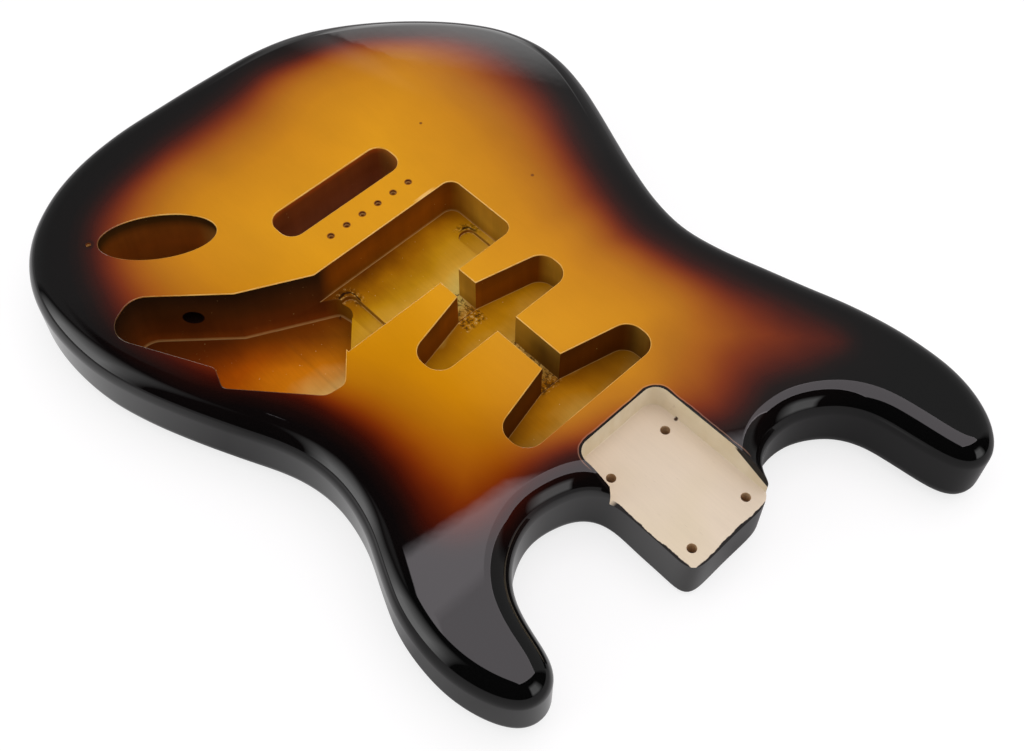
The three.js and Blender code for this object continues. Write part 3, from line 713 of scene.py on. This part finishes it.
class Surface(Nodes):
    """Nodes of one material. Its x, y and z are the body's own, in millimetres."""

    def __init__(self, name):
        self.material = bpy.data.materials.new(name)
        self.material.use_nodes = True
        super().__init__(self.material.node_tree)
        self.shader = self.tree.nodes["Principled BSDF"]
        self.place = self.add("ShaderNodeTexCoord").outputs["Object"]
        self.x, self.y, self.z = (axis * 1000.0 for axis in self.split(self.place))
        facing = self.split(self.add("ShaderNodeNewGeometry").outputs["Normal"])
        self.facing_x, self.facing_y, self.facing_z = facing

    def attribute(self, name):
        return Value(self, self.add("ShaderNodeAttribute", attribute_name=name).outputs["Fac"])

    def noise(self, scale, stretch=(1, 1, 1), detail=4.0, roughness=0.5, seed=0.0):
        mapping = self.add("ShaderNodeMapping")
        mapping.inputs["Scale"].default_value = stretch
        mapping.inputs["Location"].default_value = (seed, seed * 0.37, seed * 0.71)
        self.link(self.place, mapping.inputs["Vector"])
        node = self.add("ShaderNodeTexNoise")
        node.inputs["Scale"].default_value = scale
        node.inputs["Detail"].default_value = detail
        node.inputs["Roughness"].default_value = roughness
        self.link(mapping.outputs["Vector"], node.inputs["Vector"])
        return Value(self, node.outputs["Fac"])

    def paint(self, share, colour):
        self.colour = self.mix(share, self.colour, colour)

    def vary(self, *parts):
        """Makes the colour lighter and darker by noises, each with the share that it changes."""
        tone = sum((noise.spread(0.3, 0.7, -share, share) for noise, share in parts), 1.0)
        self.colour = self.mix(1.0, self.colour, self.grey(tone), "MULTIPLY")

    def patch(self, middle, reach, soft, wander=0.0):
        """One inside a circle round a place on the plan, falling to zero over its soft edge."""
        away = self.length(self.x - middle[0], self.y - middle[1]) + wander
        return away.fade(reach, reach + soft)

    def bump(self, height, strength, distance):
        node = self.add("ShaderNodeBump")
        node.inputs["Strength"].default_value = strength
        node.inputs["Distance"].default_value = distance
        self.link(height, node.inputs["Height"])
        return node.outputs["Normal"]

    def finish(self, roughness, normal=None, specular=0.5):
        self.link(self.colour, self.shader.inputs["Base Color"])
        self.shader.inputs["Roughness"].default_value = roughness
        self.shader.inputs["Specular IOR Level"].default_value = specular
        if normal is not None:
            self.link(normal, self.shader.inputs["Normal"])
        return self.material


BURST = [
    (-1.0, (7, 7, 7)), (-0.4, (12, 8, 8)), (-0.22, (25, 10, 8)), (-0.1, (42, 13, 8)),
    (0.0, (56, 14, 6)), (0.1, (78, 22, 6)), (0.2, (100, 33, 6)), (0.3, (120, 45, 6)),
    (0.4, (134, 60, 6)), (0.5, (147, 73, 7)), (0.6, (157, 84, 8)), (0.7, (165, 93, 8)),
    (0.85, (172, 104, 9)), (1.02, (181, 113, 10)), (1.2, (187, 119, 10)), (1.45, (196, 128, 9)),
    (1.8, (200, 133, 10)), (2.3, (206, 139, 11)), (3.0, (212, 146, 12)),
]


def lacquer_material(name, is_rim):
    """Gloss sunburst: amber through red-brown to black, over faint grain. Rims show it thin and pale, partly
    from wear and partly as a painted highlight where the edges catch light.
    """
    made = Surface(name)
    x, y, z = made.x, made.y, made.z
    burst = made.attribute("burst")
    wander = made.noise(18, detail=3.0, seed=3.1)
    made.colour = made.run(burst + wander.spread(0.3, 0.7, -0.04, 0.04), BURST)
    grain = made.noise(60, (1, 14, 1), 5.0, 0.6, 1.7)
    cloud = made.noise(22, (1, 1.8, 1), 3.0, 0.5, 5.3)
    made.vary((grain, 0.012), (cloud, 0.04))
    if is_rim:
        # Pale rims: partly wear, partly a painted highlight where the edges catch light
        worn_and_lit = made.noise(90, detail=3.0, seed=2.9).spread(0.35, 0.6, 0.3, 0.85)
        pale = worn_and_lit * burst.spread(0.1, 1.0, 0.12, 0.9)
        made.paint(pale, (236, 190, 104))
    # Black paint round the neck pocket
    across = (abs(x - 20.0) - 54.0).larger(0.0)
    along = (abs(y) - 20.0).larger(0.0)
    brushed = made.noise(120, seed=4.4).spread(0.3, 0.7, -8.25, -7.75)
    past = made.length(across, along) + brushed
    made.paint(past.fade(1.0, 1.3), (24, 19, 18))
    # Painted highlight: a faint pale line just outside the black paint, where the pocket's edge catches
    # light
    pocket_edge_highlight = past.strip(1.35, 1.6, 0.25) * made.facing_z.spread(0.9, 0.98) * 0.2
    made.paint(pocket_edge_highlight, (236, 180, 150))
    # Stain soaked in round the screw holes, and small dark specks in the clear coat
    pitch = y * (1 / PIVOT_PITCH)
    to_hole = (made.math("FRACT", pitch) - 0.5) * PIVOT_PITCH
    ring = made.length(x - PIVOT_LINE, to_hole).fade(1.9, 2.3)
    ring = ring * y.strip(-29.0, 29.0, 0.5)
    made.paint(ring * 0.75, (112, 48, 16))
    made.paint(made.patch(JACK_SCREW, 2.4, 1.4) * 0.6, (30, 12, 8))
    for middle, reach in (((-246.0, 60.4), 0.5), ((-176.5, 78.0), 0.6)):
        made.paint(made.patch(middle, reach, 0.6), (120, 66, 14))
    # A pale chip along the edge of the bridge pickup's cavity
    chip_edge = made.noise(90, detail=3.0, seed=1.1).spread(0.3, 0.7, -207.5, -206.7)
    chipped = y.strip(24.0, 30.0, 5.0) * (x - chip_edge).spread(0.0, 0.5)
    chipped = chipped * x.strip(-209, -204.5, 0.2) * z.spread(40, 44) * 0.5
    made.paint(chipped, (246, 204, 128))
    shader = made.shader
    shader.inputs["Coat Weight"].default_value = 1.0
    shader.inputs["Coat Roughness"].default_value = 0.02
    shader.inputs["Coat IOR"].default_value = 1.5
    made.link(made.bump(made.noise(160, detail=1.0, seed=8.0), 0.02, 0.0002), shader.inputs["Coat Normal"])
    return made.finish(0.35, specular=0.0)


def wall_material():
    """Side of a routed cavity: wood darkened by the sprayed finish, with painted light and shade: paler
    where it faces the treble side, darker in the shade towards the neck and under the rims of the deep
    cavities.
    """
    made = Surface("stained_wall")
    x, y, z = made.x, made.y, made.z
    grain = made.noise(140, (1, 1, 0.08), 5.0, 0.6, 2.2)
    cloud = made.noise(40, detail=3.0, seed=6.0)
    # Painted light and shade: walls facing the treble side get the lit gold colours, the rest the shaded
    # dark ones
    turned = made.facing_y.fade(-0.98, -0.6)
    in_amber = made.attribute("burst").spread(0.2, 1.2)
    past_corner = x.spread(-204, -184, 0.25, 1.0).larger(x.fade(-225, -215))
    turned = turned * past_corner
    lit_gold = made.mix(x.spread(-108, -96), made.run(z, WALL_LIT_GOLD), (128, 90, 28))
    # Painted shade on the neck pickup's end wall that faces the neck
    shaded_neck_end = made.facing_x.spread(0.0, 0.5) * x.spread(-90, -80) * 0.6
    lit_gold = made.mix(shaded_neck_end, lit_gold, (70, 48, 16))
    made.colour = made.mix(turned * in_amber, made.run(z, WALL_SHADED_DARK), lit_gold)
    # Painted shade: walls that don't face the treble side darker towards the neck, and the tail walls darker
    # towards the treble side
    shade = x.spread(-140, -100, 0.0, 0.6) * (1.0 - turned)
    made.paint(shade, (60, 28, 4))
    far_wall = y.spread(-55, -15, 0.3, 0.0) * x.fade(-200, -190)
    made.paint(far_wall, (60, 28, 4))
    # Painted highlight on the fillet at the foot of the shallow cavities' walls
    foot = z.strip(20.5, 21.9, 0.5)
    made.paint(foot * 0.3, (200, 156, 90))
    # The control cavity, the jack cavity and the slot have darker or redder sides, with painted shadow
    # darkening them towards the rim
    in_control = y.fade(-47, -39) * x.spread(-166, -176)
    made.paint(in_control, made.run(z, WALL_DEEP))
    in_jack = made.patch(JACK_CENTRE, 32.0, 0.5)
    # Painted light: the jack cavity's wall on its neck side is lighter olive, except near the rim
    lit_olive = x.spread(-278, -266, 0.0, 0.9) * z.fade(28, 40)
    made.paint(in_jack, made.mix(lit_olive, made.run(z, WALL_JACK), (186, 140, 66)))
    # Pale end of the deep cavity, towards the neck: painted light on the wall that faces the tail
    lit_neck_end = made.facing_x.fade(-0.7, -0.4) * y.fade(-45, -42)
    lit_neck_end = lit_neck_end * x.strip(-175, -140, 4) * z.spread(34, 44, 1.0, 0.4)
    made.paint(lit_neck_end * 0.8, (208, 160, 86))
    # Painted light: the slot's sides lighter towards the bottom, where light comes through from below, and
    # lighter where they face the treble side
    in_slot = x.strip(-252, -229, 1) * y.strip(-46, 36, 1)
    slot = made.mix(turned * 0.5, made.run(z, WALL_SLOT), (168, 112, 46))
    made.paint(in_slot, slot)
    # Painted highlight on the fillet at the foot of the deep cavities' walls
    foot = z.strip(5.0, 7.0, 0.8)
    made.paint(foot * 0.5, (190, 146, 88))
    # Hole for the jack's lead, painted near black inside as shade
    run_x, run_y = LEAD_END[0] - JACK_CENTRE[0], LEAD_END[1] - JACK_CENTRE[1]
    share = 1 / math.hypot(run_x, run_y)
    aside = (x - JACK_CENTRE[0]) * (run_y * share) + (y - JACK_CENTRE[1]) * (-run_x * share)
    lead = made.length(aside, z - LEAD_HEIGHT).fade(4.9, 5.3)
    lead = lead * x.strip(JACK_CENTRE[0], LEAD_END[0], 1.0)
    made.paint(lead, (30, 14, 8))
    made.vary((grain, 0.1), (cloud, 0.14))
    dust = made.noise(900, detail=1.0, seed=11.0)
    made.paint(dust.spread(0.79, 0.82, 0.0, 0.8), (190, 160, 110))
    return made.finish(0.6, made.bump(grain, 0.15, 0.0005), 0.05)


def floor_material():
    """Floor of a routed cavity: amber overspray on wood, paler towards the neck, with painted shade near the
    walls, painted highlights on the fillets, and the router's marks.
    """
    made = Surface("stained_floor")
    x, y, z = made.x, made.y, made.z
    grain = made.noise(70, (1, 10, 1), 6.0, 0.65, 4.1)
    cloud = made.noise(28, detail=3.0, seed=2.7)
    shifted = x + cloud.spread(0.3, 0.7, -6.0, 6.0)
    # Painted shade: the deep floor darkens towards its two far sides
    first = (x + 259.3) * 0.736 + (y + 124.6) * -0.677
    second = (x + 223.7) * 0.892 + (y + 85.9) * -0.452
    inward = first.smaller(second)
    shaded = made.mix(inward.spread(0, 20, 0.62, 0.0), made.run(shifted, DEEP_FLOORS), (70, 42, 8))
    # Painted light: the deep floor lighter towards its neck end
    shaded = made.mix(x.spread(-172, -159, 0.0, 0.6), shaded, (236, 190, 118))
    # Painted shade: the shallow floors are darker at the ends of the neck pickup's cavity, and at the tail
    # edge
    far_out = abs(y + 4.0).spread(16, 32, 0.0, 0.42)
    far_out = far_out * x.spread(-96, -86)
    edge_shade = shifted.spread(-206, -196, 0.45, 0.0) * y.fade(-20, 10)
    # The shallow floors' colours hold painted shadows beside each cavity's tail wall
    shallow = made.mix(far_out, made.run(shifted, SHALLOW_FLOORS_SHADED), (84, 46, 4))
    shallow = made.mix(edge_shade, shallow, (84, 40, 4))
    made.colour = made.mix(z.spread(9, 14), shaded, shallow)
    made.vary((grain, 0.05), (cloud, 0.09))
    seam = abs(y - SEAMS[0])
    made.paint(seam.spread(0.1, 1.6, 0.14, 0.0), (96, 52, 14))
    # Painted highlight on the fillets where the floors meet the walls
    foot = made.facing_z.spread(0.98, 0.85)
    made.paint(foot * 0.6, (200, 160, 100))
    # Rough, unsanded stretches: the channels and the edges of the leg pockets
    crumbs = made.noise(520, detail=3.0, roughness=0.7, seed=9.0)
    channels = x.strip(-116, -84, 2).larger(x.strip(-160, -138, 2))
    rough = y.strip(-6.6, 6.6, 0.8) * channels
    cracks = 0.0
    for middle, reach, low in (((-184.0, 36.9), 5.4, 3.0), ((-194.0, -38.1), 6.2, -1.0)):
        wander = made.noise(80, detail=4.0, roughness=0.65, seed=reach).spread(0.3, 0.7, -1.5, 1.5)
        across = x - middle[0]
        along = y - middle[1]
        away = made.length(across, along) + wander
        far_side = (along - across).spread(low, low + 4.0)
        ring = away.strip(reach, reach + 0.5, 0.4) * far_side
        cracks = cracks + ring
        torn = away.strip(4.2, 8.0, 2.0) * far_side * 0.8
        rough = rough.larger(torn)
    torn = made.patch((-160.0, -38.0), 6.0, 3.0, cloud.spread(0.3, 0.7, -3.0, 3.0))
    rough = rough.larger(torn)
    rough = rough * z.spread(17, 18)
    made.paint(rough * crumbs.spread(0.5, 0.42, 0.0, 0.8), (70, 42, 14))
    made.paint(rough * crumbs.spread(0.56, 0.64, 0.0, 0.8), (216, 184, 106))
    made.paint(cracks * 0.85, (34, 18, 8))
    dust = made.noise(900, detail=1.0, seed=13.0)
    made.paint(dust.spread(0.79, 0.82, 0.0, 0.9), (236, 212, 150))
    height = grain * 0.4 + crumbs * rough
    return made.finish(0.55, made.bump(height, 0.35, 0.0008), 0.03)


def bare_material():
    """Unfinished pale wood of the neck pocket, chipped black paint along the heel's edges."""
    made = Surface("bare_wood")
    x, y, z = made.x, made.y, made.z
    grain = made.noise(55, (1, 16, 3), 7.0, 0.62, 0.4)
    cloud = made.noise(20, (1, 2.5, 1), 3.0, 0.5, 7.7)
    flat = made.facing_z.spread(0.3, 0.9)
    made.colour = made.mix(flat, (217, 201, 171), (219, 203, 181))
    made.vary((grain, 0.02), (cloud, 0.025))
    marks = made.noise(75, (1, 2.4, 0.5), 3.0, seed=6.3).spread(0.4, 0.65)
    made.paint(marks * (1.0 - flat) * 0.3, (236, 226, 206))
    tint = made.noise(14, detail=2.0, seed=5.5)
    made.paint(tint.spread(0.45, 0.65, 0.0, 0.35), (206, 192, 152))
    scratches = made.noise(160, (1, 9, 1), 2.0, 0.5, 12.0)
    made.paint(scratches.spread(0.7, 0.76, 0.0, 0.25), (168, 146, 124))
    # One dark nick at the foot of the bass wall
    nick = made.patch((-26.0, 27.4), 0.7, 0.5) * z.fade(29.6, 30.4)
    made.paint(nick, (70, 48, 36))
    # Chipped black paint along the heel's end and its treble side
    chips = made.noise(110, detail=4.0, roughness=0.6, seed=3.7).spread(0.35, 0.65, -0.5, 0.5)
    to_end = HEEL_END - x
    to_side = y + POCKET_WIDTH / 2
    to_corner = (61.5 - (x + y)) * 0.7
    nearest = to_end.smaller(to_side).smaller(to_corner)
    painted = (nearest + chips).fade(1.0, 1.3)
    painted = painted * flat * x.spread(-17.0, -14.0)
    # and along the cut end of its bass side
    sloping = z + x * 0.44 - 46.4
    at_end = sloping.spread(-0.2, 0.2).larger(x.spread(30.0, 30.4))
    at_end = at_end * y.spread(26.0, 27.0) * x.spread(8.0, 10.0)
    painted = painted.larger(at_end * (1.0 - flat))
    made.paint(painted, (30, 27, 26))
    return made.finish(0.7, made.bump(grain, 0.1, 0.0004), 0.3)


def hole_material():
    """Inside of a drilled hole: bare wood, stained where the finish has run in, with a painted highlight in
    a band just under the rim.
    """
    made = Surface("drilled_hole")
    spot = made.noise(400, detail=2.0)
    bare = made.ramp(spot, [(0.35, (156, 92, 34)), (0.65, (196, 128, 54))])
    stained = made.ramp(spot, [(0.35, (78, 34, 6)), (0.65, (108, 50, 10))])
    # Painted highlight: a pale band just under the rim, where light reaches into the hole
    hole_top_highlight = made.z.strip(42.4, 43.2, 0.3)
    bare = made.mix(hole_top_highlight * 0.7, bare, (240, 202, 128))
    wooden = made.ramp(spot, [(0.35, (190, 158, 122)), (0.65, (214, 184, 146))])
    made.colour = made.mix(made.z.spread(43.5, 43.8), bare, stained)
    made.paint(made.x.spread(-60, -50), wooden)
    return made.finish(0.6, made.bump(spot, 0.1, 0.0004), 0.15)


LACQUER, WALL, FLOOR, BARE, HOLE, RIM = range(6)


def burst_value(xy):
    black = closed_curve(BLACK_ENDS, 240)
    amber = closed_curve(AMBER_STARTS, 240)
    to_black = distance_to(xy, black)
    to_amber = distance_to(xy, amber)
    between = to_black / (to_black + to_amber + 1e-9)
    value = np.where(inside(xy, black), between, -to_black / 30.0)
    return np.where(inside(xy, amber), 1.0 + to_amber / 30.0, value)


def cut_kind(place, upward):
    """Surface of a face that a cutter left."""
    x, y, z = place
    at_pivot = abs(x - PIVOT_LINE) < 2.0 and abs(y) < 30
    at_jack_screw = math.hypot(x - JACK_SCREW[0], y - JACK_SCREW[1]) < 2.0
    lead = np.array(LEAD_END) - JACK_CENTRE
    aside = np.array([x, y]) - JACK_CENTRE
    from_lead = math.hypot((lead[0] * aside[1] - lead[1] * aside[0]) / np.linalg.norm(lead), z - LEAD_HEIGHT)
    if 4.5 < from_lead < 4.9 and JACK_CENTRE[0] < x < LEAD_END[0]:
        return WALL
    if x > POCKET_REAR - 1 and -36 < y < 30 and z > THICK - POCKET_DEPTH - 0.2:
        return BARE if z < THICK - 1.3 else LACQUER
    if at_pivot or at_jack_screw or x > POCKET_REAR - 1 and z < THICK - POCKET_DEPTH:
        return HOLE
    if z > THICK - 0.75 or z < 0.75:
        return RIM
    return FLOOR if abs(upward) > 0.7 else WALL


def dress(mesh, skin):
    """Gives every face its surface and every skin corner its true normal."""
    count = len(mesh.polygons)
    centres = np.empty(count * 3)
    normals = np.empty(count * 3)
    mesh.polygons.foreach_get("center", centres)
    mesh.polygons.foreach_get("normal", normals)
    centres = centres.reshape(-1, 3) / MM
    normals = normals.reshape(-1, 3)
    kinds = np.zeros(count, int)
    on_skin = np.zeros(count, bool)
    for i in range(count):
        _, _, _, gap = skin[0].find_nearest(Vector(centres[i] * MM))
        on_skin[i] = gap < SKIN_GAP
        kinds[i] = LACQUER if on_skin[i] else cut_kind(centres[i], normals[i][2])
    mesh.polygons.foreach_set("material_index", kinds)
    mesh.polygons.foreach_set("use_smooth", np.ones(count, bool))
    mesh.set_sharp_from_angle(angle=math.radians(32))
    corner = np.empty(len(mesh.loops) * 3)
    mesh.corner_normals.foreach_get("vector", corner)
    corner = corner.reshape(-1, 3)
    places = np.array([v.co for v in mesh.vertices])
    found = {}
    for i, face in enumerate(mesh.polygons):
        if not on_skin[i] or face.area == 0:
            continue
        for k in face.loop_indices:
            vertex = mesh.loops[k].vertex_index
            if vertex not in found:
                found[vertex] = skin_normal(places[vertex], *skin)
            corner[k] = found[vertex]
    mesh.normals_split_custom_set(corner.tolist())
    store = mesh.attributes.new("burst", "FLOAT", "POINT")
    store.data.foreach_set("value", burst_value(places[:, :2] / MM))


def skin_normal(place, tree, points, normals, triangles):
    """True normal of the uncut body at a place, from the corners of the triangle nearest to it."""
    _, _, index, _ = tree.find_nearest(Vector(place))
    corners = triangles[index]
    a, b, c = (points[k] * MM for k in corners)
    u, v, w = b - a, c - a, place - a
    uu, uv, vv, wu, wv = u @ u, u @ v, v @ v, w @ u, w @ v
    base = uu * vv - uv * uv
    if abs(base) > 1e-30:
        s = (vv * wu - uv * wv) / base
        t = (uu * wv - uv * wu) / base
        weights = np.clip([1 - s - t, s, t], 0, 1)
    else:
        weights = [1.0 / (np.linalg.norm(p - place) + 1e-7) ** 2 for p in (a, b, c)]
    normal = sum(weight * normals[k] for weight, k in zip(weights, corners))
    return normal / np.linalg.norm(normal)


def stage_look(name):
    """Material for the stage, still without a shader, its nodes, and its x and y in millimetres."""
    look = bpy.data.materials.new(name)
    look.use_nodes = True
    made = Nodes(look.node_tree)
    made.tree.nodes.remove(made.tree.nodes["Principled BSDF"])
    place = made.add("ShaderNodeTexCoord").outputs["Object"]
    x, y, _ = (axis * 1000.0 for axis in made.split(place))
    return look, made, x, y


# The body
points, normals, faces = blank_mesh()
triangles = []
for face in faces:
    triangles += [face] if len(face) == 3 else [face[:3], (face[0], face[2], face[3])]
skin = (BVHTree.FromPolygons([Vector(p) for p in points * MM], triangles), points, normals, triangles)
routed = with_boolean("routed", mesh_from("blank", points, triangles), all_cutters(), "DIFFERENCE")
materials = [
    lacquer_material("gloss_sunburst", False), wall_material(), floor_material(), bare_material(),
    hole_material(), lacquer_material("worn_and_highlighted_rims", True),
]
boards = {
    "treble_board": ((-500, -300, -20), (500, SEAMS[0], 90)),
    "centre_board": ((-500, SEAMS[0], -20), (500, SEAMS[1], 90)),
    "bass_board": ((-500, SEAMS[1], -20), (500, SEAMS[2], 90)),
    "bass_bout_strip": ((-500, SEAMS[2], -20), (WAIST, 300, 90)),
    "bass_horn_strip": ((WAIST, SEAMS[2], -20), (500, 300, 90)),
}
for node, (low, high) in boards.items():
    mesh = with_boolean(node, routed.copy(), [box_object("space_" + node, low, high)], "INTERSECT")
    mesh.materials.clear()
    for material in materials:
        mesh.materials.append(material)
    dress(mesh, skin)
    piece = bpy.data.objects.new("finished_" + node, mesh)
    bpy.context.collection.objects.link(piece)
    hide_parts(node)
    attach(piece, "root")

# The floor, grey by itself, white to the camera, and with painted pools of light in places that only the
# gloss shows
ends, drop = 3000, 0.2
floor_points = [(x * ends, y * ends, -drop) for x, y in ((-1, -1), (1, -1), (1, 1), (-1, 1))]
floor = bpy.data.objects.new("floor", mesh_from("floor", floor_points, [(0, 1, 2, 3)]))
bpy.context.collection.objects.link(floor)
floor_look, made, x, y = stage_look("white_floor")
diffuse = made.add("ShaderNodeBsdfDiffuse")
diffuse.inputs["Color"].default_value = (0.3, 0.3, 0.3, 1)
white = 0.74
glow = made.add("ShaderNodeEmission")
straight = made.ray("Is Camera Ray").larger(made.ray("Is Transmission Ray"))
# Each painted pool of light: its middle, its reach, its soft edge and its level
glossy_light_pools = 0.06
for middle, reach, soft, level in (
    ((-330.0, -250.0), 90, 110, 0.45), ((-105.0, -150.0), 20, 50, 0.42), ((20.0, -70.0), 20, 60, 0.4),
):
    away = made.length(x - middle[0], y - middle[1])
    glossy_light_pools = away.spread(reach, reach + soft, level, 0.0) + glossy_light_pools
reflected = made.ray("Is Glossy Ray") * glossy_light_pools.smaller(white)
made.link(straight * white + reflected, glow.inputs["Strength"])
adding = made.add("ShaderNodeAddShader")
made.link(diffuse.outputs[0], adding.inputs[0])
made.link(glow.outputs[0], adding.inputs[1])
made.link(adding.outputs[0], made.tree.nodes["Material Output"].inputs["Surface"])
floor.data.materials.append(floor_look)

# The room: dark, with soft boxes round it, by direction in degrees. White to the camera
world = bpy.data.worlds.new("room")
bpy.context.scene.world = world
world.use_nodes = True
room = Nodes(world.node_tree)
x, y, z = room.split(room.add("ShaderNodeTexCoord").outputs["Generated"])
round_about = room.math("ARCTAN2", y, x) * (180 / math.pi)
upward = room.math("ARCSINE", z) * (180 / math.pi)
# Each box: radiance, its two sides and their soft edges, its foot and top and theirs
boxes = [
    (2.5, -133, -114, 14, 15, -10, 18, 3, 38),
    (1.5, -7, 12, 5, 18, 10, 34, 12, 14),
    (2.2, 129, 140, 6, 4, -10, 28.6, 3, 1.8),
    (0.45, 140, 152, 3, 4, -10, 34, 3, 8),
]
light = 0.01
for radiance, left, right, left_soft, right_soft, foot, crown, foot_soft, crown_soft in boxes:
    sideways = round_about.spread(left - left_soft, left) * round_about.fade(right, right + right_soft)
    tall = upward.spread(foot - foot_soft, foot) * upward.fade(crown, crown + crown_soft)
    light = sideways * tall * radiance + light
# A dim wall on the bass side and behind the tail
bass_side = round_about.strip(70, 132, 10)
behind = round_about.spread(60, 70) + round_about.fade(-152, -146)
below_edge = (upward + bass_side * -8.0).fade(50, 55)
dim_wall = behind * 0.21 + bass_side * 0.08
light = light + dim_wall * below_edge
light = light + room.ray("Is Diffuse Ray") * 0.58
straight = room.ray("Is Camera Ray").larger(room.ray("Is Transmission Ray"))
shown = room.mix(straight, room.grey(light), (255, 255, 255))
room.link(shown, room.tree.nodes["Background"].inputs["Color"])

# The large soft box overhead, a flat panel with soft edges
PANEL_HEIGHT = 1545.0
corners = [(-733, -190), (-560, -460), (590, -600), (590, 1000), (-373, 1000), (-579, 646), (-647, 529)]
panel_mesh = mesh_from("overhead_panel", [(x, y, PANEL_HEIGHT) for x, y in corners], [(0, 6, 5, 4, 3, 2, 1)])
panel = bpy.data.objects.new("overhead_panel", panel_mesh)
bpy.context.collection.objects.link(panel)
panel.visible_camera = False
panel_look, made, x, y = stage_look("soft_box")
tail_edge = x * 0.9929 + y * -0.1187 + 705.1
cut_edge = x * 0.8646 + y * -0.5025 + 825.2
inward = tail_edge.smaller(cut_edge)
level = inward.spread(0, 26) * x.spread(-552, -528, 2.6, 1.95)
rim = x.spread(560, 590).larger(y.spread(970, 1000))
glow = made.add("ShaderNodeEmission")
glow.inputs["Color"].default_value = (1.0, 0.93, 0.98, 1)
made.link(level + rim * 3.0, glow.inputs["Strength"])
made.link(glow.outputs[0], made.tree.nodes["Material Output"].inputs["Surface"])
panel.data.materials.append(panel_look)

# The camera, at the photograph's place. Focal length and optical centre in pixels of the picture
WIDE, HIGH = 1024, 751
FOCAL, CENTRE_X, CENTRE_Y = 1343.39, 508.29, 368.33
camera = bpy.data.cameras.new("camera")
camera.sensor_width = 36
camera.lens = camera.sensor_width * FOCAL / WIDE
camera.shift_x = (WIDE / 2 - CENTRE_X) / WIDE
camera.shift_y = (CENTRE_Y - HIGH / 2) / WIDE
camera.clip_start = 0.01
camera.clip_end = 20
camera_object = bpy.data.objects.new("camera", camera)
camera_object.location = (0.15945, -0.27354, 0.58388)
camera_object.rotation_euler = Euler((0.590309, -0.0090625, 0.7993265), "XYZ")
bpy.context.collection.objects.link(camera_object)
bpy.context.scene.camera = camera_object
bpy.context.scene.view_settings.view_transform = "Standard"
